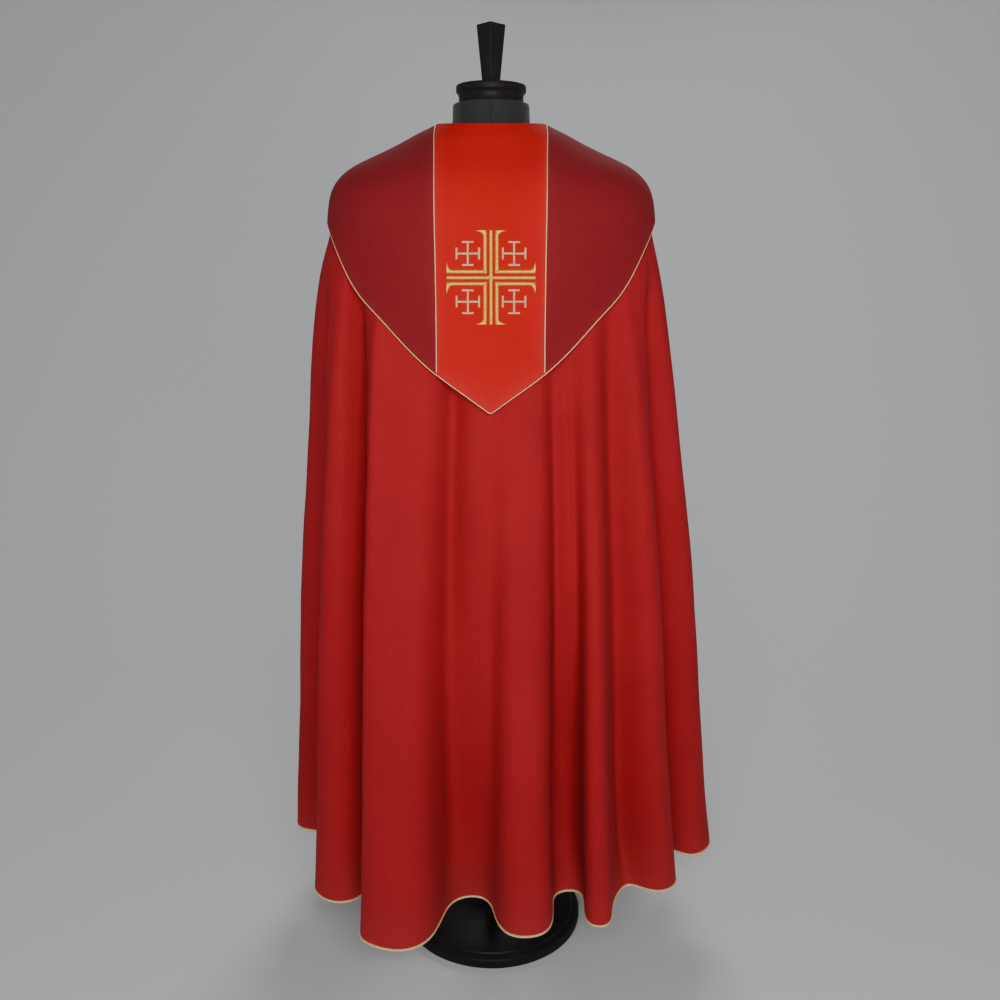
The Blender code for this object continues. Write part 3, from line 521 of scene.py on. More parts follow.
# The rings that the cloth hangs on: half-widths left and right, depths behind and before the pole, heights at
# the side, back and front, and how square the ring is (2 is an ellipse).
RINGS = {
    "neckline": (0.091, 0.091, 0.088, 0.086, 1.514, 1.506, 1.468, 2.00),
    "neck_root": (0.125, 0.125, 0.103, 0.097, 1.495, 1.483, 1.448, 2.05),
    "shoulder_mid": (0.159, 0.159, 0.117, 0.107, 1.477, 1.461, 1.427, 2.10),
    "shoulder_slope": (0.210, 0.210, 0.139, 0.124, 1.454, 1.428, 1.398, 2.20),
    "shoulder_point": (0.248, 0.248, 0.152, 0.136, 1.432, 1.400, 1.375, 2.30),
    "shoulder_turn": (0.268, 0.268, 0.160, 0.143, 1.405, 1.373, 1.352, 2.35),
    "upper_arm": (0.2735, 0.2735, 0.165, 0.148, 1.360, 1.342, 1.330, 2.40),
    "yoke": (0.289, 0.286, 0.170, 0.153, 1.300, 1.300, 1.298, 2.35),
    "elbow": (0.331, 0.330, 0.216, 0.193, 1.020, 1.020, 1.020, 2.25),
    "hip": (0.359, 0.367, 0.259, 0.230, 0.740, 0.740, 0.740, 2.20),
    "knee": (0.380, 0.396, 0.299, 0.266, 0.455, 0.453, 0.454, 2.15),
    "hem": (0.402, 0.430, 0.338, 0.302, 0.175, 0.168, 0.172, 2.10),
}

# The hem in plan, a row for each fold from the left front edge round the back: the crest is half an ellipse,
# the trough after it a smaller one, the bearings say where each hangs from, and the onsets how late they
# open.
FOLD_COLUMNS = (
    "crest_x", "crest_y", "crest_half", "crest_high", "crest_bearing", "onset",
    "trough_x", "trough_y", "trough_half", "trough_bearing", "trough_onset",
)
FOLDS = {
    "front_left": (-0.098, 0.262, 0.026, 0.026, -160.0, 1.3, -0.143, 0.218, 0.016, -149.0, 1.2),
    "chest_left": (-0.205, 0.246, 0.042, 0.040, -138.0, 1.1, -0.238, 0.180, 0.014, -127.0, 1.05),
    "arm_left": (-0.320, 0.172, 0.046, 0.044, -115.0, 1.0, -0.298, 0.098, 0.013, -102.0, 0.9),
    "side_left": (-0.362, 0.060, 0.045, 0.040, -89.0, 0.9, -0.272, -0.045, 0.015, -70.0, 0.7),
    "back_far_left": (-0.272, -0.160, 0.050, 0.055, -54.0, 0.8, -0.200, -0.158, 0.010, -46.5, 0.5),
    "back_left": (-0.158, -0.278, 0.062, 0.062, -22.0, 1.5, -0.036, -0.200, 0.022, -5.0, 2.2),
    "back_centre": (0.059, -0.257, 0.049, 0.047, 4.5, 1.35, 0.143, -0.183, 0.018, 20.0, 1.25),
    "back_right": (0.188, -0.252, 0.024, 0.032, 27.5, 1.1, 0.2475, -0.176, 0.020, 38.0, 0.8),
    "back_far_right": (0.302, -0.142, 0.040, 0.040, 49.0, 1.0, 0.325, -0.055, 0.013, 63.0, 0.7),
    "side_right": (0.385, -0.010, 0.058, 0.045, 82.0, 1.0, 0.334, 0.080, 0.013, 100.0, 0.9),
    "arm_right": (0.352, 0.148, 0.044, 0.044, 113.0, 1.0, 0.270, 0.168, 0.014, 124.0, 1.05),
    "chest_right": (0.252, 0.230, 0.042, 0.042, 136.0, 1.1, 0.178, 0.206, 0.014, 146.0, 1.2),
    "front_right": (0.128, 0.258, 0.034, 0.032, 158.0, 1.3, None, None, None, None, None),
}
EDGE_BEARING = 172.5
EDGE_HEM = (0.056, 0.274)
EDGE_ONSET = 1.3
CREST_KNOTS = (-90.0, -32.0, 32.0, 90.0)
TROUGH_KNOTS = (-50.0, 50.0)
TROUGH_FLATNESS = 0.6
BEARING_SMOOTHINGS = 12
FOLD_START = 0.12

MANTLE_COLUMNS = 520
MANTLE_ROWS = 89
SHOULDER_ROW_SHARE = 0.30
# How the columns are spaced: how much of them goes to the turns, how finely those are measured and evened
# out, and how many times its own slope a ripple turns the cloth.
TURN_SHARE = 0.55
TURN_SAMPLES = 6000
TURN_AVERAGE = 41
TURNS_PER_RIPPLE = 4.0

# Smaller, softer folds between the main ones: the crest that each lies by, how far aside of it, the drop at
# its top and the drop over which it grows from there, the drop at its foot, its half-width and height (a
# trough is below 0), and how far it strays to the side.
RIPPLE_COLUMNS = ("crest", "aside", "top", "growth", "foot", "half_width", "height", "stray")
RIPPLES = (
    ("back_left", -0.055, 0.62, 0.16, 1.60, 0.026, 0.0030, 0.012),
    ("back_left", 0.020, 0.70, 0.16, 1.45, 0.022, -0.0024, -0.010),
    ("back_left", -0.078, 0.34, 0.16, 1.70, 0.030, 0.0120, 0.000),
    ("back_left", 0.170, 0.26, 0.30, 1.46, 0.028, -0.0190, 0.000),
    ("back_left", 0.170, 0.22, 0.25, 1.00, 0.036, -0.0120, 0.000),
    ("back_left", 0.208, 0.22, 0.25, 1.40, 0.040, -0.0140, 0.000),
    ("back_left", 0.236, 0.80, 0.50, 1.50, 0.030, 0.0060, 0.000),
    ("back_left", 0.300, 0.78, 0.16, 1.40, 0.026, -0.0030, 0.000),
    ("back_far_left", 0.100, 0.34, 0.26, 1.46, 0.023, -0.0350, 0.000),
    ("back_far_left", 0.136, 0.32, 0.26, 1.46, 0.046, -0.0470, 0.000),
    ("back_far_left", 0.000, 0.45, 0.16, 1.30, 0.030, 0.0040, -0.010),
    ("back_far_left", -0.078, 0.36, 0.16, 1.70, 0.030, 0.0070, 0.000),
    ("back_centre", -0.035, 0.66, 0.16, 1.30, 0.026, 0.0026, 0.010),
    ("back_centre", 0.126, 0.30, 0.30, 1.50, 0.022, -0.0210, 0.000),
    ("back_centre", 0.160, 0.36, 0.40, 1.10, 0.022, 0.0090, 0.000),
    ("back_centre", 0.160, 0.85, 0.45, 1.47, 0.036, -0.0260, 0.000),
    ("back_right", -0.106, 0.32, 0.30, 1.50, 0.020, -0.0130, 0.000),
    ("back_right", 0.150, 0.28, 0.30, 1.50, 0.024, -0.0140, 0.000),
    ("back_right", 0.160, 0.85, 0.40, 1.50, 0.028, -0.0170, 0.000),
    ("back_right", 0.180, 0.26, 0.34, 1.30, 0.032, 0.0080, 0.000),
    ("back_far_right", -0.020, 0.40, 0.16, 1.10, 0.030, 0.0036, 0.012),
    ("back_far_right", 0.142, 0.28, 0.36, 1.46, 0.036, -0.0400, 0.000),
    ("side_left", -0.070, 0.40, 0.16, 1.25, 0.034, 0.0050, 0.016),
    ("side_left", 0.065, 0.46, 0.16, 1.05, 0.026, -0.0046, -0.012),
    ("side_right", -0.050, 0.42, 0.16, 1.30, 0.032, 0.0050, 0.014),
    ("side_right", 0.075, 0.38, 0.16, 1.10, 0.030, -0.0050, -0.016),
    ("side_right", 0.150, 0.40, 0.30, 1.70, 0.030, -0.0140, 0.000),
    ("arm_left", 0.030, 0.36, 0.16, 1.20, 0.026, 0.0042, 0.010),
    ("arm_left", 0.140, 0.42, 0.30, 1.70, 0.028, -0.0140, 0.000),
    ("arm_right", -0.030, 0.34, 0.16, 1.15, 0.026, -0.0042, 0.012),
    ("arm_right", 0.135, 0.44, 0.30, 1.70, 0.026, -0.0120, 0.000),
    ("chest_left", -0.040, 0.34, 0.16, 1.40, 0.026, 0.0038, 0.012),
    ("chest_left", 0.125, 0.44, 0.30, 1.70, 0.024, -0.0110, 0.000),
    ("chest_right", 0.035, 0.36, 0.16, 1.25, 0.026, 0.0040, -0.010),
    ("front_left", 0.040, 0.30, 0.16, 1.00, 0.020, -0.0030, 0.008),
    ("front_right", -0.030, 0.34, 0.16, 1.10, 0.020, 0.0032, -0.008),
)
RIPPLE_FADE = 0.16
# A ripple strays along a sine of this many radians between its top and its foot.
RIPPLE_STRAY_TURN = 3.0
# The way that ripples stand out: from the pole, turned towards the back and front.
RAISED_TOWARDS = (0.55, 1.0, 0.0)
# Where the wool turns in soft round valleys: how far aside of a crest their middle lies, and how far they
# reach. They fade out over a share of that reach, and come in over a drop that starts about the yoke.
SOFT_VALLEYS = (("back_left", 0.186, 0.11), ("back_centre", 0.284, 0.25))
SOFT_FADE_SHARE = 0.3
SOFT_TOP, SOFT_GROWTH = 0.30, 0.15
SOFT_SPREAD = 0.0125
SOFT_STEP = 0.0015
# The cloth's own slight unevenness: how many waves, how many to a metre at most across and down, their
# height, and the drops over which it comes in.
UNEVEN_WAVES = 26
UNEVEN_ACROSS, UNEVEN_DOWN = 9.0, 7.0
UNEVEN_HEIGHT = 0.00045
UNEVEN_TOP, UNEVEN_GROWTH = 0.45, 0.2

MANTLE_COLOUR = (0.385, 0.0106, 0.0165)
MANTLE_SHADE_COLOUR = (0.255, 0.0064, 0.0105)
# Threads to a metre, threads to a repeat and how hairy it is.
TWILL = (1150.0, 4.0, 0.5)
RUBBED_ROWS = 3.0

ring_table = np.array(list(RINGS.values()))
row_drops = lengths_along(ring_table[:, [0, 4]])
ring_at = spline(row_drops, ring_table)
YOKE_DROP = row_drops[list(RINGS).index("yoke")]
HEM_DROP = row_drops[-1]


def bearing_of(ring, x):
    """Bearings, on the back half of rings, of places x metres from the middle."""
    wide = np.where(x < 0.0, ring[..., 0], ring[..., 1])
    share = np.minimum(np.abs(x) / wide, 0.9998)
    return np.copysign(np.degrees(np.arcsin(share ** (ring[..., 7] / 2.0))), x)


def envelope(bearing, drop):
    """Points of the surface that the cloth hangs on, its bearings spread to keep the front edges straight."""
    bearing, drop = np.broadcast_arrays(np.asarray(bearing, float), np.asarray(drop, float))
    ring = ring_at(drop)
    edge = 180.0 - bearing_of(ring, np.full(drop.shape, FRONT_GAP_HALF))
    front = 90.0 + (np.abs(bearing) - 90.0) * (edge - 90.0) / (EDGE_BEARING - 90.0)
    moved = (np.abs(bearing) > 90.0) & (drop < YOKE_DROP)
    return ring_point(ring, np.where(moved, np.copysign(front, bearing), bearing))


def fold_knots():
    """The hem's knots in plan, their lengths along it, and each one's yoke bearing and onset."""
    rows = [dict(zip(FOLD_COLUMNS, row)) for row in FOLDS.values()]
    first, last = np.array(EDGE_HEM) * (-1.0, 1.0), np.array(EDGE_HEM)
    crests = [np.array([row["crest_x"], row["crest_y"]]) for row in rows]
    troughs = [np.array([row["trough_x"], row["trough_y"]]) for row in rows[:-1]]
    before, after = [first, *troughs], [*troughs, last]
    knots, onsets = [first], [EDGE_ONSET]
    for k, row in enumerate(rows):
        along = unit(after[k] - before[k])
        out = np.array([along[1], -along[0]])
        for angle in np.radians(CREST_KNOTS):
            aside = row["crest_half"] * math.sin(angle) * along
            knots.append(crests[k] + (aside + row["crest_high"] * math.cos(angle) * out))
            onsets.append(row["onset"])
        if k == len(rows) - 1:
            continue
        along = unit(crests[k + 1] - crests[k])
        out = np.array([along[1], -along[0]])
        for angle in np.radians(TROUGH_KNOTS):
            aside = math.sin(angle) * along - TROUGH_FLATNESS * math.cos(angle) * out
            knots.append(troughs[k] + row["trough_half"] * aside)
            onsets.append(row["trough_onset"])
    knots.append(last)
    onsets.append(EDGE_ONSET)

    length = lengths_along(knots)
    marks, mark_bearings = [0.0], [-EDGE_BEARING]
    index = 1
    for k, row in enumerate(rows):
        marks.append(0.5 * (length[index + 1] + length[index + 2]))
        mark_bearings.append(row["crest_bearing"])
        index += len(CREST_KNOTS)
        if k < len(rows) - 1:
            marks.append(0.5 * (length[index] + length[index + 1]))
            mark_bearings.append(row["trough_bearing"])
            index += len(TROUGH_KNOTS)
    marks.append(length[-1])
    mark_bearings.append(EDGE_BEARING)
    return np.array(knots), length, np.interp(length, marks, mark_bearings), np.array(onsets)


hem_knots, hem_length, yoke_bearings, fold_onsets = fold_knots()
hem_bearings = np.degrees(np.arctan2(hem_knots[:, 0], -hem_knots[:, 1]))
for _ in range(BEARING_SMOOTHINGS):
    hem_bearings[1:-1] = 0.25 * hem_bearings[:-2] + 0.5 * hem_bearings[1:-1] + 0.25 * hem_bearings[2:]
hem_bearings = np.maximum.accumulate(hem_bearings)
knot_curve = spline(hem_length, np.column_stack([hem_knots, yoke_bearings, hem_bearings, fold_onsets]))


def mantle_points(place, drop):
    """Points of the mantle's outer face."""
    hem_x, hem_y, yoke_bearing, hem_bearing, onset = np.moveaxis(knot_curve(place), -1, 0)
    share = np.clip((drop - YOKE_DROP) / (HEM_DROP - YOKE_DROP), 0.0, 1.0)
    bearing = yoke_bearing + (hem_bearing - yoke_bearing) * share
    opened = np.maximum(share, 1e-9) ** onset * ease(share / FOLD_START)
    fold = np.stack([hem_x, hem_y, 0.0 * hem_x], axis=-1) - envelope(hem_bearing, HEM_DROP)
    fold[..., 2] = 0.0
    return envelope(bearing, drop) + fold * opened[..., None]


def places_by_turn(count):
    """Places along the hem, closer together where it turns more."""
    fine = np.linspace(0.0, hem_length[-1], TURN_SAMPLES)
    plan = knot_curve(fine)[:, :2]
    heading = np.unwrap(np.arctan2(*np.diff(plan, axis=0).T[::-1]))
    turn = np.abs(np.diff(heading, prepend=heading[0], append=heading[-1]))
    turn = np.convolve(turn, np.ones(TURN_AVERAGE) / TURN_AVERAGE, mode="same")
    for ripple in ripples:
        middle = crest_places[ripple["crest"]] + ripple["aside"]
        near = np.exp(-(((fine - middle) / ripple["half_width"]) ** 2))
        slope = abs(math.atan(ripple["height"] / ripple["half_width"]))
        turn += TURNS_PER_RIPPLE * slope * near / near.sum()
    measure = (1.0 - TURN_SHARE) * fine / fine[-1] + TURN_SHARE * np.cumsum(turn) / turn.sum()
    measure = (measure - measure[0]) / (measure[-1] - measure[0])
    return np.interp(np.linspace(0.0, 1.0, count), measure, fine)


def sheet_plan(grid):
    """How far each point of a grid lies along the cloth from its middle and its first row, in metres."""
    step_across = np.linalg.norm(np.diff(grid, axis=1), axis=-1)
    step_down = np.linalg.norm(np.diff(grid, axis=0), axis=-1)
    along = np.concatenate([np.zeros((grid.shape[0], 1)), np.cumsum(step_across, axis=1)], axis=1)
    fallen = np.concatenate([np.zeros((1, grid.shape[1])), np.cumsum(step_down, axis=0)])
    along -= 0.5 * along[:, -1:]
    return np.stack([along, -fallen], axis=-1)


def rubbed_values(rows, columns):
    """1 along the foot and the two sides of a grid, falling off within a few rows: where cloth is rubbed."""
    from_foot = np.arange(rows)[::-1, None]
    from_side = np.minimum(np.arange(columns), np.arange(columns)[::-1])
    return np.exp(-np.minimum(from_foot, from_side) / RUBBED_ROWS)


def shell_object(name, outer, inner, finish):
    """An open sheet with a wall: two grids of points joined round their edges. Its UV map is in metres."""
    rows, columns = outer.shape[:2]
    count = rows * columns
    index = np.arange(count).reshape(rows, columns)
    a, b, c, d = index[:-1, :-1], index[:-1, 1:], index[1:, 1:], index[1:, :-1]
    quads = np.stack([a, b, c, d], axis=-1).reshape(-1, 4)
    faces = quads.tolist() + (quads[:, ::-1] + count).tolist()
    border = list(index[0]) + list(index[1:, -1]) + list(index[-1, -2::-1]) + list(index[-2:0:-1, 0])
    for p, q in zip(border, border[1:] + border[:1]):
        faces.append((int(q), int(p), int(p + count), int(q + count)))
    points = np.concatenate([outer.reshape(-1, 3), inner.reshape(-1, 3)])
    made = mesh_object(name, points, faces, finish, smooth_angle=60.0)
    flat = np.concatenate([sheet_plan(outer).reshape(-1, 2)] * 2)
    uv = made.data.uv_layers.new(name="cut")
    corners = np.empty(len(made.data.loops), np.int32)
    made.data.loops.foreach_get("vertex_index", corners)
    uv.data.foreach_set("uv", flat[corners].astype(np.float32).ravel())
    turn_faces_out(made)
    point_values(made, "rubbed", np.tile(rubbed_values(rows, columns), (2, 1)))
    return made


def softened(grid):
    """A grid with its rows evened out in plan, by a moving mean over even steps."""
    half = int(3.0 * SOFT_SPREAD / SOFT_STEP)
    weights = np.exp(-0.5 * (np.arange(-half, half + 1) * SOFT_STEP / SOFT_SPREAD) ** 2)
    weights /= weights.sum()
    grid = grid.copy()
    for row in grid:
        length = lengths_along(row)
        marks = np.arange(0.0, length[-1] + SOFT_STEP, SOFT_STEP)
        for axis in range(2):
            even = np.pad(np.interp(marks, length, row[:, axis]), half, mode="edge")
            row[:, axis] = np.interp(length, marks, np.convolve(even, weights, mode="valid"))
    return grid


def grid_normals(grid):
    """Outward normals of a grid with rows that go down and columns from the left front round the back."""
    return unit(np.cross(np.gradient(grid, axis=0), np.gradient(grid, axis=1)))


ripples = [dict(zip(RIPPLE_COLUMNS, row)) for row in RIPPLES]
crest_places = {}
for k, name in enumerate(FOLDS):
    i = 2 + k * (len(CREST_KNOTS) + len(TROUGH_KNOTS))
    crest_places[name] = 0.5 * (hem_length[i] + hem_length[i + 1])

places = places_by_turn(MANTLE_COLUMNS)
shoulder_rows = np.linspace(0.0, YOKE_DROP, int(SHOULDER_ROW_SHARE * MANTLE_ROWS), endpoint=False)
skirt_rows = np.linspace(YOKE_DROP, HEM_DROP, MANTLE_ROWS - len(shoulder_rows))
place_grid, drop_grid = np.meshgrid(places, np.concatenate([shoulder_rows, skirt_rows]))
mantle_outer = mantle_points(place_grid, drop_grid)

raised = np.zeros(place_grid.shape)
for ripple in ripples:
    run = (drop_grid - ripple["top"]) / (ripple["foot"] - ripple["top"])
    strayed = ripple["stray"] * np.sin(RIPPLE_STRAY_TURN * run)
    centre = crest_places[ripple["crest"]] + ripple["aside"] + strayed
    across = np.exp(-(((place_grid - centre) / ripple["half_width"]) ** 2))
    grown = ease((drop_grid - ripple["top"]) / ripple["growth"])
    faded = ease((ripple["foot"] - drop_grid) / RIPPLE_FADE)
    raised += ripple["height"] * across * (grown * faded)
draws = np.random.default_rng(7)
uneven = np.zeros(place_grid.shape)
for _ in range(UNEVEN_WAVES):
    waves_across = draws.uniform(-UNEVEN_ACROSS, UNEVEN_ACROSS)
    waves_down = draws.uniform(-UNEVEN_DOWN, UNEVEN_DOWN)
    phase = draws.uniform(0.0, 6.28)
    uneven += np.sin(2.0 * math.pi * (waves_across * place_grid + waves_down * drop_grid) + phase)
unevenness = UNEVEN_HEIGHT * uneven / math.sqrt(UNEVEN_WAVES / 2.0)
raised += unevenness * ease((drop_grid - UNEVEN_TOP) / UNEVEN_GROWTH)
mantle_outer += unit(mantle_outer * RAISED_TOWARDS) * raised[..., None]
softness = np.zeros(place_grid.shape)
for name, aside, reach in SOFT_VALLEYS:
    off_middle = np.abs(place_grid - crest_places[name] - aside) / reach
    softness = np.maximum(softness, ease((1.0 - off_middle) / SOFT_FADE_SHARE))
softness = softness * ease((drop_grid - SOFT_TOP) / SOFT_GROWTH)
mantle_outer += (softened(mantle_outer) - mantle_outer) * softness[..., None]
mantle_inner = mantle_outer - MANTLE_WALL * grid_normals(mantle_outer)

# Fine threads crossing over and under along a diagonal: 2 threads to a repeat is a plain weave, 4 a twill.
weave, ins, outs = node_group(
    "weave", {"Vector": None, "Threads": 1100.0, "Repeat": 4.0, "Nap": 0.4}, ("Tone", "Height")
)
counted = node_output(weave, "ShaderNodeVectorMath", {0: ins["Vector"], 3: ins["Threads"]}, operation="SCALE")
parts = weave.nodes.new("ShaderNodeSeparateXYZ")
weave.links.new(counted, parts.inputs[0])
warp, weft = (
    calc(weave, "ABSOLUTE", calc(weave, "SINE", calc(weave, "MULTIPLY", parts.outputs[axis], math.pi)))
    for axis in ("X", "Y")
)
both = calc(weave, "ADD", parts.outputs["X"], parts.outputs["Y"])
repeats = calc(weave, "DIVIDE", calc(weave, "MULTIPLY", both, 2.0 * math.pi), ins["Repeat"])
over = calc(weave, "MULTIPLY_ADD", calc(weave, "SINE", repeats), 0.5, 0.5)
under = calc(weave, "SUBTRACT", 1.0, over)
woven = calc(weave, "ADD", calc(weave, "MULTIPLY", warp, over), calc(weave, "MULTIPLY", weft, under))
fuzz = calc(weave, "MULTIPLY", noise(weave, counted, 0.33, 3.0), ins["Nap"])
weave.links.new(calc(weave, "ADD", woven, fuzz), outs["Height"])
thread_tones = []
for lie in ((0.9, 0.012, 0.0), (0.012, 0.9, 0.0)):
    drawn = node_output(weave, "ShaderNodeVectorMath", {0: counted, 1: lie}, operation="MULTIPLY")
    thread_tones.append(noise(weave, drawn, 1.0, 1.0))
weave.links.new(calc(weave, "MULTIPLY", calc(weave, "ADD", *thread_tones), 0.5), outs["Tone"])


def woven_cloth(name, colour, shade_colour, weaving, sheen):
    """Matt cloth with its threads along its own UV map, uneven in dye, with painted shade where the weave
    lies low, and a little faded where rubbed.
    """
    finish, tree, shader = principled(name)
    cut = node_output(tree, "ShaderNodeUVMap", uv_map="cut")
    threads, repeat, nap = weaving
    cloth = use_group(tree, weave, vector=cut, threads=threads, repeat=repeat, nap=nap)
    clouded = {"Vector": cut, "Scale": 5.0, "Detail": 5.0, "Roughness": 0.6}
    cloud = node_output(tree, "ShaderNodeTexNoise", clouded)
    uneven_dye = node_output(tree, "ShaderNodeMapRange", {"Value": cloud, 1: 0.30, 2: 0.70, 3: 0.0, 4: 0.34})
    threads_show = calc(tree, "MULTIPLY", calc(tree, "SUBTRACT", cloth["Tone"], 0.35), 1.1)
    # Painted shade: the cloth darker where its weave lies low.
    hollow = calc(tree, "MULTIPLY", calc(tree, "SUBTRACT", 1.0, cloth["Height"]), 0.30)
    share = calc(tree, "ADD", calc(tree, "ADD", uneven_dye, threads_show), hollow)
    faded = tuple(0.6 * c + 0.4 * max(colour) * t for c, t in zip(colour, (1.05, 0.16, 0.14)))
    dyed = mixed(tree, share, colour, shade_colour)
    rub = calc(tree, "MULTIPLY", attribute(tree, "rubbed"), calc(tree, "MULTIPLY_ADD", cloud, 0.6, 0.15))
    rough = calc(tree, "MULTIPLY_ADD", cloud, 0.14, 0.80)
    surface(tree, shader, mixed(tree, rub, dyed, faded), rough, cloth["Height"], 0.0003, 0.5)
    shader.inputs["Sheen Weight"].default_value = sheen
    shader.inputs["Sheen Roughness"].default_value = 0.45
    shader.inputs["Sheen Tint"].default_value = (0.75, 0.10, 0.10, 1.0)
    shader.inputs["Specular IOR Level"].default_value = 0.16
    return finish


mantle_wool = woven_cloth("mantle_wool", MANTLE_COLOUR, MANTLE_SHADE_COLOUR, TWILL, 0.04)
mantle = shell_object("cope_mantle", mantle_outer, mantle_inner, mantle_wool)
fit(mantle, "mantle_cloth", "mantle")


# ------------------------------------------------------------------ the cords of the hem and the front edges
# Furnishing cord of three strands wound in gold thread, slip-stitched to the cut edge all round: one length
# along the hem and one up each front edge.

CORD_RADIUS = 0.0023
CORD_SIDES = 11
CORD_TWIST = 0.0125
CORD_STEP = 0.0012
CORD_SOFTENINGS = 2
STRANDS = 3
STRAND_BITE = 0.30
WINDING_PITCH = 0.00055
CORD_SEAT = 0.00045
# Its own colour, its painted shade in the hollows, and its painted highlight.
CORD_COLOURS = ((0.90, 0.60, 0.29), (0.40, 0.20, 0.07), (1.0, 0.90, 0.66))


def edge_path(edge, inside, clearance):
    """Points set out from an edge, away from the row inside it and square to the edge."""
    along = unit(np.gradient(edge, axis=0))
    out = edge - inside
    out = unit(out - along * np.sum(out * along, axis=1, keepdims=True))
    return edge + out * clearance


def even_path(path, step, softenings):
    """The same path in even steps, with its corners softened."""
    length = lengths_along(path)
    marks = np.linspace(0.0, length[-1], int(length[-1] / step) + 1)
    path = np.column_stack([np.interp(marks, length, path[:, k]) for k in range(3)])
    for _ in range(softenings):
        path[1:-1] = 0.25 * path[:-2] + 0.5 * path[1:-1] + 0.25 * path[2:]
    return path


def rings_round(path, side, up, radius, angles):
    """A ring of points round each point of a path, in the plane of its side and up directions."""
    turned = np.cos(angles)[:, None] * side[..., None, :] + np.sin(angles)[:, None] * up[..., None, :]
    return path[..., None, :] + radius * turned


def lay_cord(node, path, radius, sides, twist, finish):
    """Three strands twisted round a path, with their hollows in the mesh. The UV map runs round and along."""
    along = unit(np.gradient(path, axis=0))
    length = lengths_along(path)
    side = unit(np.cross(along[0], (0.0, 0.0, 1.0) if abs(along[0][2]) < 0.9 else (1.0, 0.0, 0.0)))
    sides_at = np.empty_like(path)
    for k, forward in enumerate(along):
        side = side - forward * side.dot(forward)
        side = side / math.sqrt(side.dot(side))
        sides_at[k] = side
    angles = np.linspace(0.0, 2.0 * math.pi, sides, endpoint=False)
    hollow = 1.0 - np.abs(np.cos(0.5 * STRANDS * (angles - 2.0 * math.pi * length[:, None] / twist)))
    radii = radius * (1.0 - STRAND_BITE * hollow)
    rings = rings_round(path, sides_at, np.cross(along, sides_at), radii[..., None], angles)
    made = closed_stack("cope_" + node, rings, finish, smooth_angle=80.0)
    # How deep each point lies in a strand's hollow; the material paints shade there.
    point_values(made, "hollow", hollow)
    columns = np.arange(sides)
    uvs = np.zeros((len(made.data.loops), 2), np.float32)
    around = np.stack([columns, columns + 1, columns + 1, columns], axis=-1) / sides
    run = np.stack([length[:-1], length[:-1], length[1:], length[1:]], axis=-1)
    shape = (len(path) - 1, sides, 4)
    for axis, values in enumerate((around[None], run[:, None])):
        uvs[: math.prod(shape), axis] = np.broadcast_to(values, shape).ravel()
    made.data.uv_layers.new(name="wound").data.foreach_set("uv", uvs.ravel())
    fit(made, "gold_cord", node)


def gold_thread(name, colour, shade_colour, painted_highlight_colour, twist):
    """Gold thread wound round a cord's strands: fine windings, painted shade in the hollows, specks of dirt,
    and a painted highlight on the windings; the thread is a little metallic.
    """
    finish, tree, shader = principled(name)
    wound = node_output(tree, "ShaderNodeUVMap", uv_map="wound")
    parts = tree.nodes.new("ShaderNodeSeparateXYZ")
    tree.links.new(wound, parts.inputs[0])
    turn = calc(tree, "SUBTRACT", parts.outputs["X"], calc(tree, "DIVIDE", parts.outputs["Y"], twist))
    turn = calc(tree, "MULTIPLY", turn, 2.0 * math.pi * STRANDS)
    winding = calc(tree, "MULTIPLY", parts.outputs["Y"], 2.0 * math.pi / WINDING_PITCH)
    fibre = calc(tree, "MULTIPLY_ADD", calc(tree, "SINE", calc(tree, "ADD", turn, winding)), 0.5, 0.5)
    speck = noise(tree, object_place(tree), 420.0, 3.0)
    hollow = attribute(tree, "hollow")
    # Painted highlight: the windings lighter on their crests, away from the hollows.
    painted_shine = calc(tree, "MULTIPLY", fibre, calc(tree, "SUBTRACT", 1.0, hollow))
    with_painted_highlight = mixed(tree, calc(tree, "MULTIPLY", painted_shine, 0.45), colour, painted_highlight_colour)
    dirt = calc(tree, "MULTIPLY", ramp(tree, speck, 0.5, 0.75), 0.35)
    # Painted shade in the strand hollows, together with real dirt in specks.
    painted_shade_and_dirt = calc(tree, "MAXIMUM", calc(tree, "MULTIPLY", hollow, hollow), dirt)
    rough = calc(tree, "MULTIPLY_ADD", speck, 0.2, 0.42)
    wavy = calc(tree, "ADD", fibre, speck)
    surface(tree, shader, mixed(tree, painted_shade_and_dirt, with_painted_highlight, shade_colour), rough, wavy, 0.00012, 0.6)
    shader.inputs["Metallic"].default_value = 0.25
    return finish


cord_gold = gold_thread("cord_gold", *CORD_COLOURS, CORD_TWIST)
mantle_middle = 0.5 * (mantle_outer + mantle_inner)
for node, edge, inside in (
    ("hem_cord", mantle_middle[-1], mantle_middle[-3]),
    ("front_cord_left", mantle_middle[:, 0], mantle_middle[:, 2]),
    ("front_cord_right", mantle_middle[:, -1], mantle_middle[:, -3]),
):
    path = even_path(edge_path(edge, inside, CORD_RADIUS + CORD_SEAT), CORD_STEP, CORD_SOFTENINGS)
    lay_cord(node, path, CORD_RADIUS, CORD_SIDES, CORD_TWIST, cord_gold)


# ------------------------------------------------------------------ the hood
# A flat shield of cloth that hangs over the back from the neckline and the shoulder lines: a bright orphrey
# down its middle, seamed between two darker panels, its lower edge standing just off the mantle. Gold piping
# covers the two seams, and a fine gold cord runs along the whole outer edge, from neckline to neckline.

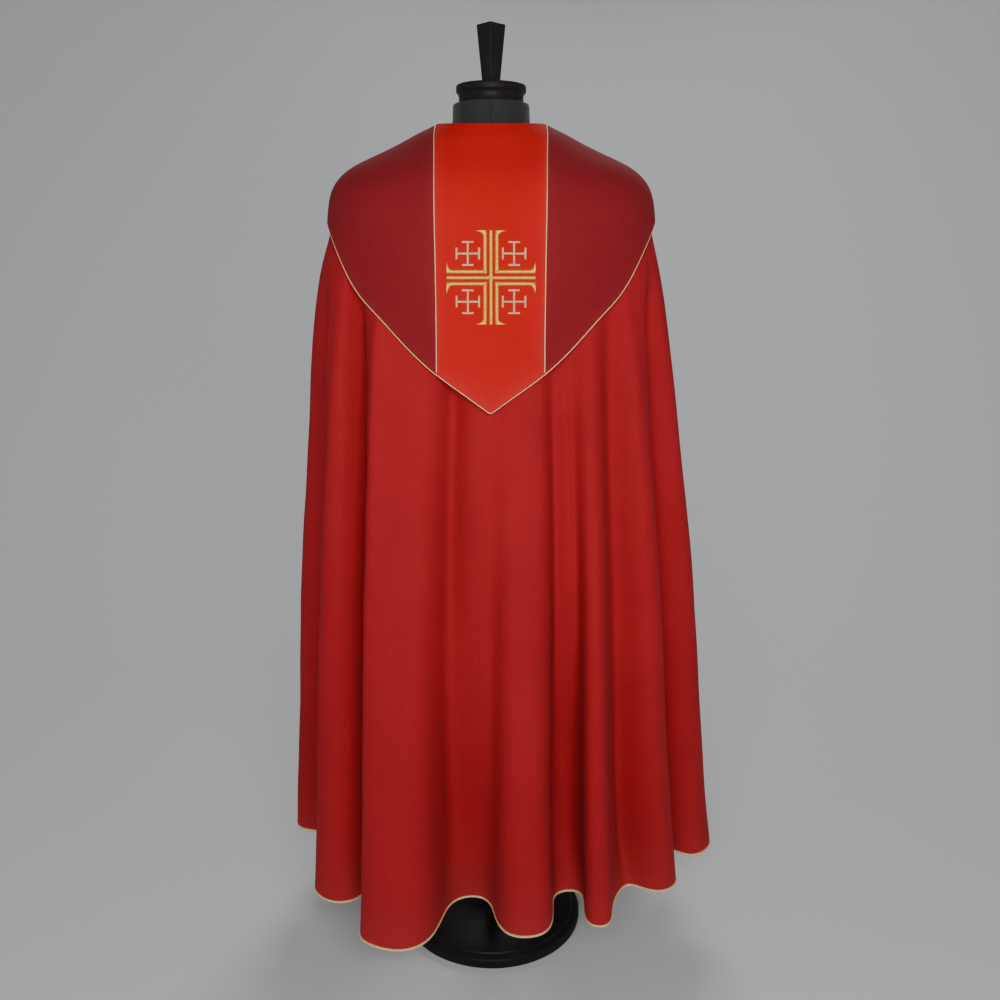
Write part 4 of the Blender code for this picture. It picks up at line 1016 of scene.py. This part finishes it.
# The lower edge as it hangs: half-width and height, from the shoulder to the tip.
HOOD_EDGE = (
    (0.2715, 1.357), (0.2435, 1.302), (0.2165, 1.252), (0.175, 1.203),
    (0.1285, 1.153), (0.085, 1.113), (0.042, 1.082), (0.0, 1.052),
)
HOOD_WALL = 0.0022
RIDGE_BEARING = 88.0
HOOD_TOP_DROP = 0.002
HOOD_LIFT_TOP = 0.0008
HOOD_LIFT = 0.0034
HOOD_LIFT_FULL_DROP = 0.05
HOOD_EDGE_LIFT = 0.0030
HOOD_EDGE_REACH = 0.06
HOOD_EDGE_LIFT_TOP, HOOD_EDGE_LIFT_GROWTH = 0.16, 0.12
HALVINGS = 34
# How far apart, in metres and degrees to each side, and metres outwards, a surface's directions are read.
PROBE = 0.004
PROBE_BEARING = 0.5
PROBE_OUT = 0.01
SEAM_GAP = 0.0003
SEAM_SINK = 0.0007
SEAM_REACH = 0.006
ORPHREY_TOP_HALF = 0.0905
ORPHREY_FOOT_HALF = 0.085
SIDE_FOOT_WIDTH = 0.002
TIP_BEND = 4.0
SHARP_BEARING = 30.0
HOOD_ROWS = 110
SIDE_PANEL_COLUMNS = 60
ORPHREY_COLUMNS = 64
HOOD_COLOUR = (0.238, 0.0098, 0.0160)
HOOD_SHADE_COLOUR = (0.155, 0.0058, 0.0100)
ORPHREY_COLOUR = (0.560, 0.0040, 0.0060)
ORPHREY_SHADE_COLOUR = (0.420, 0.0030, 0.0045)
# Threads to a metre, threads to a repeat and how hairy it is.
PLAIN_WEAVE = (1400.0, 2.0, 0.35)
# Soft swells of the hood: metres aside, height, half-width, half-height and how far each stands out.
HOOD_SWELLS = (
    (-0.165, 1.255, 0.050, 0.070, 0.0016),
    (-0.120, 1.180, 0.040, 0.045, 0.0012),
    (-0.215, 1.330, 0.030, 0.045, 0.0014),
    (0.175, 1.265, 0.055, 0.060, 0.0017),
    (0.125, 1.195, 0.036, 0.050, 0.0011),
    (0.220, 1.325, 0.030, 0.045, 0.0013),
    (0.010, 1.130, 0.070, 0.050, 0.0012),
    (-0.030, 1.350, 0.040, 0.060, 0.0008),
)

edge_half_widths, edge_heights = np.array(HOOD_EDGE).T
hood_edge_curve = spline(edge_half_widths[::-1], edge_heights[::-1])


def edge_height(x):
    """The height of the hood's lower edge, x metres to the side."""
    return hood_edge_curve(np.minimum(np.abs(x), HOOD_EDGE[0][0]))[..., 0]


def halfway_search(low, high, is_past):
    """The places between low and high where is_past turns true, for arrays."""
    for _ in range(HALVINGS):
        middle = 0.5 * (low + high)
        past = is_past(middle)
        high = np.where(past, middle, high)
        low = np.where(past, low, middle)
    return 0.5 * (low + high)


def drop_at(x, height):
    """The drops at which the cloth's back is this high, x metres to the side."""
    x, height = np.broadcast_arrays(np.asarray(x, float), np.asarray(height, float))

    def is_past(drop):
        ring = ring_at(drop)
        return ring_point(ring, bearing_of(ring, x))[..., 2] < height

    return halfway_search(np.zeros(x.shape), np.full(x.shape, HEM_DROP), is_past)


def hood_at(bearing, drop, extra=0.0):
    """Points over the mantle's back, at the hood's inner face plus extra."""

    def place(b, d):
        return ring_point(ring_at(d), b)

    point = place(bearing, drop)
    down = place(bearing, drop + PROBE) - place(bearing, drop - PROBE)
    across = place(bearing + PROBE_BEARING, drop) - place(bearing - PROBE_BEARING, drop)
    normal = unit(np.cross(down, across))
    off_edge = 1.0 - ease((point[..., 2] - edge_height(point[..., 0])) / HOOD_EDGE_REACH)
    lift = HOOD_LIFT_TOP + (HOOD_LIFT - HOOD_LIFT_TOP) * ease(drop / HOOD_LIFT_FULL_DROP)
    grown = ease((drop - HOOD_EDGE_LIFT_TOP) / HOOD_EDGE_LIFT_GROWTH)
    lift = lift + HOOD_EDGE_LIFT * off_edge * grown
    for x, z, half_wide, half_high, out in HOOD_SWELLS:
        apart = ((point[..., 0] - x) / half_wide) ** 2 + ((point[..., 2] - z) / half_high) ** 2
        lift = lift + out * np.exp(-apart)
    return point + normal * (lift + extra)[..., None]


def orphrey_half(drop):
    share = np.minimum(drop / HOOD_FOOT_DROP, 1.0)
    return ORPHREY_TOP_HALF + (ORPHREY_FOOT_HALF - ORPHREY_TOP_HALF) * share


def edge_bearing(drop):
    """The bearings of the hood's edge at its drops: the shoulder ridge, or where its lower edge comes in."""
    ring = ring_at(drop)

    def is_past(bearing):
        point = ring_point(ring, bearing)
        return point[..., 2] < edge_height(point[..., 0])

    return halfway_search(np.zeros(drop.shape), np.full(drop.shape, RIDGE_BEARING), is_past)


def bearing_share(ring, share, half_bearing, half_width):
    """Bearings across the orphrey: even in width low down, even in bearing where the ring turns sharply."""
    by_width = bearing_of(ring, share * half_width) * half_bearing / bearing_of(ring, half_width)
    turn = np.maximum(half_bearing - SHARP_BEARING, 0.0) / (90.0 - SHARP_BEARING)
    return (1.0 - turn) * by_width + turn * share * half_bearing


def panel_faces(bearings, drops, seams):
    """A hood panel's outer and inner faces: the outer sinks a little beside its seams, which are columns."""
    inner = hood_at(bearings, drops)
    off_seam = np.min([np.linalg.norm(inner - inner[:, [k]], axis=-1) for k in seams], axis=0)
    sunk = -SEAM_SINK * np.exp(-((off_seam / SEAM_REACH) ** 2))
    return hood_at(bearings, drops, HOOD_WALL + sunk), inner


side_foot = ORPHREY_FOOT_HALF + SIDE_FOOT_WIDTH
HOOD_FOOT_DROP = float(drop_at(side_foot, edge_height(side_foot)))
hood_drops = np.linspace(HOOD_TOP_DROP, HOOD_FOOT_DROP, HOOD_ROWS)

panel_points = {}
seam_bearing = bearing_of(ring_at(hood_drops), orphrey_half(hood_drops) + 0.5 * SEAM_GAP)
spread = (edge_bearing(hood_drops) - seam_bearing)[:, None]
bearings = seam_bearing[:, None] + spread * np.linspace(0.0, 1.0, SIDE_PANEL_COLUMNS)
drop_rows = np.broadcast_to(hood_drops[:, None], bearings.shape)
for name, side in (("hood_left", -1.0), ("hood_right", 1.0)):
    panel_points[name] = panel_faces(side * bearings, drop_rows, (0,))

shares = np.linspace(-1.0, 1.0, ORPHREY_COLUMNS)[None]
foot_x = shares * ORPHREY_FOOT_HALF
tip_drop = drop_at(0.0, edge_height(0.0))
foot_drop = np.minimum(drop_at(foot_x, edge_height(foot_x)), tip_drop)
stretch = (foot_drop - HOOD_FOOT_DROP) * (hood_drops[:, None] / HOOD_FOOT_DROP) ** TIP_BEND
lower_drops = hood_drops[:, None] + stretch
half_widths = orphrey_half(hood_drops)[:, None]
half_bearings = bearing_of(ring_at(lower_drops), half_widths - 0.5 * SEAM_GAP)
bearings = bearing_share(ring_at(lower_drops), shares, half_bearings, half_widths)
panel_points["hood_orphrey"] = panel_faces(bearings, lower_drops, (0, -1))

hood_cloth = woven_cloth("hood_wool", HOOD_COLOUR, HOOD_SHADE_COLOUR, TWILL, 0.08)
orphrey_cloth = woven_cloth("orphrey_wool", ORPHREY_COLOUR, ORPHREY_SHADE_COLOUR, PLAIN_WEAVE, 0.03)
for name, finish, slot, flat, area in (
    ("hood_left", hood_cloth, "hood_cloth", (0.24, 0.42), 0.063),
    ("hood_orphrey", orphrey_cloth, "orphrey_cloth", (0.185, 0.50), 0.084),
    ("hood_right", hood_cloth, "hood_cloth", (0.24, 0.42), 0.063),
):
    panel = shell_object("cope_" + name, *panel_points[name], finish)
    fit(panel, slot, name)

# Its own colour, its painted shade in the hollows, and its painted highlight.
FINE_CORD_COLOURS = ((1.0, 0.64, 0.30), (0.62, 0.30, 0.10), (1.0, 0.88, 0.56))
FINE_CORD_RADIUS = 0.00085
FINE_CORD_TWIST = 0.0075
FINE_CORD_SIDES = 9
FINE_CORD_STEP = 0.0008
HOOD_CORD_SOFTENINGS = 10
PIPING_SHORTENING = 0.0015
PIPING_SAMPLES = 200
PIPING_SOFTENINGS = 4

fine_gold = gold_thread("fine_cord_gold", *FINE_CORD_COLOURS, FINE_CORD_TWIST)
fine_cord = (FINE_CORD_RADIUS, FINE_CORD_SIDES, FINE_CORD_TWIST, fine_gold)
clearance = FINE_CORD_RADIUS + CORD_SEAT
left, centre, right = (
    0.5 * sum(panel_points[name]) for name in ("hood_left", "hood_orphrey", "hood_right")
)
down_left = edge_path(left[:, -1], left[:, -3], clearance)
across_tip = edge_path(centre[-1], centre[-3], clearance)[1:-1]
up_right = edge_path(right[:, -1], right[:, -3], clearance)[::-1]
round_hood = np.concatenate([down_left, across_tip, up_right])
lay_cord("hood_cord", even_path(round_hood, FINE_CORD_STEP, HOOD_CORD_SOFTENINGS), *fine_cord)

piping_drops = np.linspace(HOOD_TOP_DROP + PIPING_SHORTENING, HOOD_FOOT_DROP, PIPING_SAMPLES)
for node, side in (("piping_left", -1.0), ("piping_right", 1.0)):
    seam_bearing = bearing_of(ring_at(piping_drops), side * orphrey_half(piping_drops))
    path = hood_at(seam_bearing, piping_drops, HOOD_WALL + FINE_CORD_RADIUS + CORD_SEAT)
    lay_cord(node, even_path(path, FINE_CORD_STEP, PIPING_SOFTENINGS), *fine_cord)


# ------------------------------------------------------------------ the embroidered cross
# A Jerusalem cross in satin stitch: a core of two crossed bars, four L-shaped strokes with spreading serifs,
# and four small potent crosses in a paler thread. Each stroke is laid in close parallel stitches over a
# padding, so that it stands up round from the cloth.

CROSS_CENTRE = (0.0007, 1.263)
CROSS_HALF_WIDTH = 0.0697
CROSS_HALF_HEIGHT = 0.0725
CORE_HALF = 0.0028
STROKE_IN = 0.0064
STROKE_OUT = 0.0122
SERIF_REACH = 0.0258
SERIF_ROOT = 0.011
SERIF_CURVE = 3.4
CROSSLET_OFFSET = (0.0364, 0.0372)
CROSSLET_HALF = 0.0194
CROSSLET_BAR = 0.0017
CROSSLET_END = 0.0090
STITCH_PITCH = 0.00062
STITCH_RADIUS = 0.00034
STITCH_STATIONS = 6
STITCH_SIDES = 5
STITCH_HIGH = 0.0010
STITCH_HIGH_SHARE = 0.30
STITCH_ARCHES = (0.85, 1.1)
STITCH_SEAT = 0.9
STITCH_END = 0.55
STITCH_STRAY = 0.00025
# Each thread's own colour, its painted shade where it dips into the cloth, and its painted highlight on the
# top of its arch.
CROSS_COLOURS = ((1.0, 0.58, 0.06), (0.60, 0.22, 0.02), (1.0, 0.86, 0.26))
CROSSLET_COLOURS = ((1.0, 0.66, 0.32), (0.70, 0.34, 0.14), (1.0, 0.90, 0.58))


def bar_stitches(low, high, near, far):
    """Stitches across a bar from (near, s) to (far, s), s stepping from low to high. far may depend on s."""
    count = max(int(round((high - low) / STITCH_PITCH)), 2)
    s = low + (np.arange(count) + 0.5) * (high - low) / count
    near = np.full(s.shape, near)
    far = far(s) if callable(far) else np.full(s.shape, far)
    return np.stack([near, s, far, s], axis=-1)


def turned_stitches(stitches, flip_x=1.0, flip_z=1.0, swap=False, shift=(0.0, 0.0)):
    """The same stitches with x and z swapped, mirrored and moved."""
    ends = stitches.reshape(-1, 2, 2)
    if swap:
        ends = ends[..., ::-1]
    ends = ends * (flip_x, flip_z) + shift
    return ends.reshape(-1, 4)


def stroke_arm(length):
    """The stitches of an arm of an L-shaped stroke: mitred, straight, then spreading to its serif's point."""

    def edge(s):
        run = np.clip((s - (length - SERIF_ROOT)) / SERIF_ROOT, 0.0, 1.0)
        return np.minimum(s, STROKE_OUT + (SERIF_REACH - STROKE_OUT) * run**SERIF_CURVE)

    arm = bar_stitches(STROKE_IN, length, STROKE_IN, edge)
    return arm[arm[:, 2] - arm[:, 0] > 2.0 * STITCH_RADIUS]


def l_stroke(flip_x, flip_z):
    """One L-shaped stroke: an upright and a level arm, mitred at the inner corner."""
    upright, level = stroke_arm(CROSS_HALF_HEIGHT), stroke_arm(CROSS_HALF_WIDTH)
    return np.concatenate([
        turned_stitches(upright, flip_x, flip_z), turned_stitches(level, flip_x, flip_z, swap=True),
    ])


def crossed_bars(bar, half_height, half_width):
    """An upright bar, and a level one from each of its sides."""
    upright = bar_stitches(-half_height, half_height, -bar, bar)
    level = bar_stitches(bar, half_width, -bar, bar)
    return [upright, turned_stitches(level, swap=True), turned_stitches(level, flip_x=-1.0, swap=True)]


def crosslet_stitches(flip_x, flip_z):
    """One small cross with a bar across each of its four ends."""
    foot = CROSSLET_HALF - 2.0 * CROSSLET_BAR
    end = bar_stitches(-CROSSLET_END, CROSSLET_END, foot, CROSSLET_HALF)
    pieces = crossed_bars(CROSSLET_BAR, foot, foot)
    pieces += [end, turned_stitches(end, flip_x=-1.0)]
    pieces += [turned_stitches(end, swap=True), turned_stitches(end, flip_z=-1.0, swap=True)]
    shift = (flip_x * CROSSLET_OFFSET[0], flip_z * CROSSLET_OFFSET[1])
    return turned_stitches(np.concatenate(pieces), shift=shift)


def threads_mesh(name, path, out, radius, sides, finish, smooth_angle):
    """Many short closed threads in one mesh: a path and outward directions for each."""
    along = unit(np.gradient(path, axis=1))
    side = unit(np.cross(along, out))
    angles = np.linspace(0.0, 2.0 * math.pi, sides, endpoint=False)
    rings = rings_round(path, side, np.cross(side, along), radius, angles)
    threads, stations = path.shape[:2]
    quads, ends = tube_faces(stations, sides)
    first = np.arange(threads)[:, None, None] * stations * sides
    faces = (quads[None] + first).reshape(-1, 4).tolist()
    for end in ends:
        faces += (end[None] + first[:, 0]).tolist()
    made = mesh_object(name, rings.reshape(-1, 3), faces, finish, smooth_angle)
    turn_faces_out(made)
    return made


def stitched_piece(name, stitches, finish, seed):
    """Every stitch as a closed, arched thread laid on the orphrey, with its own tone for the material."""
    draws = np.random.default_rng(seed)
    stitches = stitches + draws.uniform(-STITCH_STRAY, STITCH_STRAY, stitches.shape)
    share = np.linspace(0.0, 1.0, STITCH_STATIONS)
    start, end = stitches[:, None, :2], stitches[:, None, 2:]
    flat = start + (end - start) * share[None, :, None]
    x, z = flat[..., 0] + CROSS_CENTRE[0], flat[..., 1] + CROSS_CENTRE[1]
    drop = drop_at(x, z)
    bearing = bearing_of(ring_at(drop), x)
    arch = np.sqrt(np.maximum(1.0 - (2.0 * share - 1.0) ** 2, 0.0))[None]
    arch = arch * draws.uniform(*STITCH_ARCHES, (len(x), 1))
    rise = np.minimum(STITCH_HIGH, STITCH_HIGH_SHARE * np.linalg.norm(end - start, axis=-1))
    seat = HOOD_WALL + STITCH_SEAT * STITCH_RADIUS
    path = hood_at(bearing, drop, seat + rise * arch)
    out = unit(hood_at(bearing, drop, seat + PROBE_OUT) - hood_at(bearing, drop, seat))
    radii = STITCH_RADIUS * np.array([STITCH_END] + [1.0] * (STITCH_STATIONS - 2) + [STITCH_END])
    made = threads_mesh(name, path, out, radii[:, None, None], STITCH_SIDES, finish, smooth_angle=75.0)
    point_values(made, "tone", np.repeat(draws.uniform(0.0, 1.0, len(x)), STITCH_STATIONS * STITCH_SIDES))
    # The arch, by which the material paints a highlight on each stitch's top and shade where it dips.
    point_values(made, "arch", np.repeat(arch, STITCH_SIDES))
    return made


def satin_thread(name, colour, shade_colour, painted_highlight_colour):
    """Lustrous embroidery thread: each stitch has its own tone, a painted highlight along the top of its
    arch, and painted shade where it dips into cloth.
    """
    finish, tree, shader = principled(name)
    tone, arch = attribute(tree, "tone"), attribute(tree, "arch")
    strands = noise(tree, object_place(tree), 2400.0, 2.0)
    # Painted highlight along the top of each stitch's arch, stronger on the paler-toned stitches.
    painted_highlight_share = calc(tree, "MULTIPLY", calc(tree, "MULTIPLY", tone, tone), calc(tree, "MULTIPLY", arch, 0.75))
    # Painted shade toward the stitch's ends, where it dips into the cloth.
    painted_dip_shade = calc(tree, "MULTIPLY", calc(tree, "SUBTRACT", 1.0, arch), 0.50)
    shade = mixed(tree, painted_dip_shade, mixed(tree, painted_highlight_share, colour, painted_highlight_colour), shade_colour)
    surface(tree, shader, shade, calc(tree, "MULTIPLY_ADD", tone, 0.16, 0.30), strands, 0.0001, 0.5)
    shader.inputs["Metallic"].default_value = 0.7
    shader.inputs["Specular IOR Level"].default_value = 0.25
    return finish


cross_gold = satin_thread("cross_gold", *CROSS_COLOURS)
cross_pale_gold = satin_thread("cross_pale_gold", *CROSSLET_COLOURS)
core_stitches = np.concatenate(crossed_bars(CORE_HALF, CROSS_HALF_HEIGHT, CROSS_HALF_WIDTH))
core = stitched_piece("embroidered_core", core_stitches, cross_gold, 11)
fit(core, "gold_thread", "cross_core")
QUARTERS = (
    ("upper_left", -1.0, 1.0), ("upper_right", 1.0, 1.0),
    ("lower_left", -1.0, -1.0), ("lower_right", 1.0, -1.0),
)
for k, (quarter, *flips) in enumerate(QUARTERS):
    stroke = stitched_piece("embroidered_corner_" + quarter, l_stroke(*flips), cross_gold, 21 + k)
    fit(stroke, "gold_thread", "cross_corner_" + quarter)
    small = crosslet_stitches(*flips)
    crosslet = stitched_piece("embroidered_crosslet_" + quarter, small, cross_pale_gold, 31 + k)
    fit(crosslet, "pale_gold_thread", "crosslet_" + quarter)


# ------------------------------------------------------------------ the morse
# The strap that closes the cope across the breast: a doubled strip of the orphrey's cloth, turned in and
# stitched close to its edges all round, sewn to one front edge, with two brass press studs that hold it to
# the other.

MORSE_HALF_WIDTH = 0.088
MORSE_LOW = 1.318
MORSE_HIGH = 1.366
MORSE_LIFT = 0.0012
MORSE_WALL = 0.0022
MORSE_OVER_CORD = 0.0011
CORD_REACH = 0.006
MORSE_EDGE_ROUNDING = 0.0011
MORSE_COLUMNS = 120
MORSE_ROWS = 40
MORSE_PUFF = 0.00035
MORSE_PUFF_WAVES = (95.0, 160.0)
MORSE_BACK_EASE = 0.00004
MORSE_CROWDING = 0.85
TOPSTITCH_IN = 0.0045
TOPSTITCH_PITCH = 0.0034
TOPSTITCH_RADIUS = 0.00025
TOPSTITCH_SIDES = 6
# Where a topstitch starts and ends in its pitch, and how high each of its stations lies on the cloth.
TOPSTITCH_SPAN = (0.12, 0.88)
TOPSTITCH_HEIGHTS = (-0.0003, 0.00015, 0.0002, 0.0002, 0.00015, -0.0003)
TOPSTITCH_SINK = 0.0003
# The groove that it pulls into the strap.
GROOVE_WIDTH = 0.0012
GROOVE_DEPTH = 0.00035
STUD_RADIUS = 0.006
STUD_PLACE = (0.073, 0.013)
STUD_UNDER = 0.0024
STUD_SEAT = 0.0006
STUD_STEPS = 48
# Share of the stud's radius, and height in metres, of each turn, from its foot up: a rolled rim and a low
# dome.
STUD_TURNS = (
    (0.90, 0.0000), (0.98, 0.0001), (1.00, 0.0004), (0.99, 0.0007), (0.95, 0.0009),
    (0.90, 0.00085), (0.84, 0.0008), (0.80, 0.0010), (0.72, 0.0014), (0.58, 0.0018),
    (0.40, 0.0021), (0.20, 0.0022), (0.04, 0.0022),
)
BRASS_COLOUR = (0.70, 0.50, 0.21)
BRASS_TARNISH_COLOUR = (0.27, 0.165, 0.06)


def front_point(x, height, lift):
    """Points before the mantle's front, x metres to the side, at a height."""
    x, height = np.broadcast_arrays(np.asarray(x, float), np.asarray(height, float))

    def place(u, drop):
        ring = ring_at(drop)
        return ring_point(ring, 180.0 - bearing_of(ring, u))

    low, high = np.zeros(x.shape), np.full(x.shape, HEM_DROP)
    drop = halfway_search(low, high, lambda d: place(x, d)[..., 2] < height)
    point = place(x, drop)
    across = place(x + PROBE, drop) - place(x - PROBE, drop)
    down = place(x, drop + PROBE) - place(x, drop - PROBE)
    normal = unit(np.cross(down, across))
    normal = normal * np.sign(normal[..., 1:2])
    return point + normal * np.asarray(lift, float)[..., None]


def crowded_ends(count):
    """0 to 1, with the steps closer together at both ends."""
    s = np.linspace(0.0, 1.0, count)
    return s - np.sin(2.0 * math.pi * s) / (2.0 * math.pi) * MORSE_CROWDING


def morse_lift(x):
    """How far the strap's inner face is from the mantle: it rises where it passes over the front cords."""
    off_cord = np.abs(x) - (FRONT_GAP_HALF - CORD_RADIUS - CORD_SEAT)
    return MORSE_LIFT + MORSE_OVER_CORD * np.exp(-((off_cord / CORD_REACH) ** 2))


xs = -MORSE_HALF_WIDTH + 2.0 * MORSE_HALF_WIDTH * crowded_ends(MORSE_COLUMNS)
zs = MORSE_HIGH + (MORSE_LOW - MORSE_HIGH) * crowded_ends(MORSE_ROWS)
x_grid, z_grid = np.meshgrid(xs, zs)
side_edge = np.minimum(x_grid + MORSE_HALF_WIDTH, MORSE_HALF_WIDTH - x_grid)
from_edge = np.minimum(side_edge, np.minimum(z_grid - MORSE_LOW, MORSE_HIGH - z_grid))
inward = np.clip(from_edge / MORSE_EDGE_ROUNDING, 0.0, 1.0)
rounded = np.sqrt(np.clip(1.0 - (1.0 - inward) ** 2, 0.0, 1.0))
groove = GROOVE_DEPTH * np.exp(-(((from_edge - TOPSTITCH_IN) / GROOVE_WIDTH) ** 2))
puff = MORSE_PUFF * np.sin(x_grid * MORSE_PUFF_WAVES[0] + 1.0) * np.sin(z_grid * MORSE_PUFF_WAVES[1])
middle_lift = morse_lift(x_grid) + 0.5 * MORSE_WALL
front_lift = middle_lift + (0.5 * MORSE_WALL + puff) * rounded - groove
back_lift = middle_lift - 0.5 * MORSE_WALL * rounded
strap_out = front_point(x_grid, z_grid, front_lift)
strap_in = front_point(x_grid, z_grid, back_lift - MORSE_BACK_EASE)
morse_cloth = woven_cloth("morse_wool", ORPHREY_COLOUR, ORPHREY_SHADE_COLOUR, PLAIN_WEAVE, 0.06)
morse = shell_object("cope_morse", strap_out, strap_in, morse_cloth)

# The topstitching: short threads that dip in and out, a little in from the edge all round.
half_long, half_high = MORSE_HALF_WIDTH - TOPSTITCH_IN, 0.5 * (MORSE_HIGH - MORSE_LOW) - TOPSTITCH_IN
middle_z = 0.5 * (MORSE_LOW + MORSE_HIGH)
corners = np.array([(-1.0, -1.0), (1.0, -1.0), (1.0, 1.0), (-1.0, 1.0)]) * (half_long, half_high)
spans = []
for start, end in zip(corners, np.roll(corners, -1, axis=0)):
    count = int(np.linalg.norm(end - start) / TOPSTITCH_PITCH)
    share = (np.arange(count)[:, None] + np.linspace(*TOPSTITCH_SPAN, len(TOPSTITCH_HEIGHTS))) / count
    spans.append(start + (end - start) * share[..., None])
x, z = np.moveaxis(np.concatenate(spans), -1, 0)
lift = morse_lift(x) + MORSE_WALL - TOPSTITCH_SINK + np.array(TOPSTITCH_HEIGHTS)
topstitching = threads_mesh(
    "morse_topstitching", front_point(x, z + middle_z, lift), (0.0, 1.0, 0.0),
    TOPSTITCH_RADIUS, TOPSTITCH_SIDES, morse_cloth, smooth_angle=80.0,
)
topstitching.data.uv_layers.new(name="cut")
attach(topstitching, "root")
fit(morse, "morse_cloth", "morse")

brass, tree, shader = principled("stud_brass")
place = object_place(tree)
cloud = noise(tree, place, 260.0, 4.0)
polished = calc(tree, "SUBTRACT", 1.0, use_group(tree, edge_wear, vector=place)["Mask"])
tarnish = calc(tree, "MULTIPLY", ramp(tree, cloud, 0.42, 0.72), polished)
shade = mixed(tree, tarnish, BRASS_COLOUR, BRASS_TARNISH_COLOUR)
surface(tree, shader, shade, calc(tree, "MULTIPLY_ADD", tarnish, 0.28, 0.22), cloud, 0.00005, 0.4)
shader.inputs["Metallic"].default_value = 1.0

for name, turn in (("morse_stud_upper", 1.0), ("morse_stud_lower", -1.0)):
    x, z = STUD_PLACE[0], middle_z + turn * STUD_PLACE[1]
    seat = front_point(x, z, MORSE_LIFT + STUD_UNDER + STUD_SEAT)
    out = unit(front_point(x, z, PROBE_OUT) - front_point(x, z, 0.0))
    turns = [(STUD_RADIUS * share, height) for share, height in STUD_TURNS]
    stud = turned_piece("brass_" + name, turns, STUD_STEPS, brass)
    lean = Vector(out).to_track_quat("Z", "Y").to_matrix().to_4x4()
    stud.data.transform(Matrix.Translation(Vector(seat)) @ lean)
    fit(stud, "brass", name)
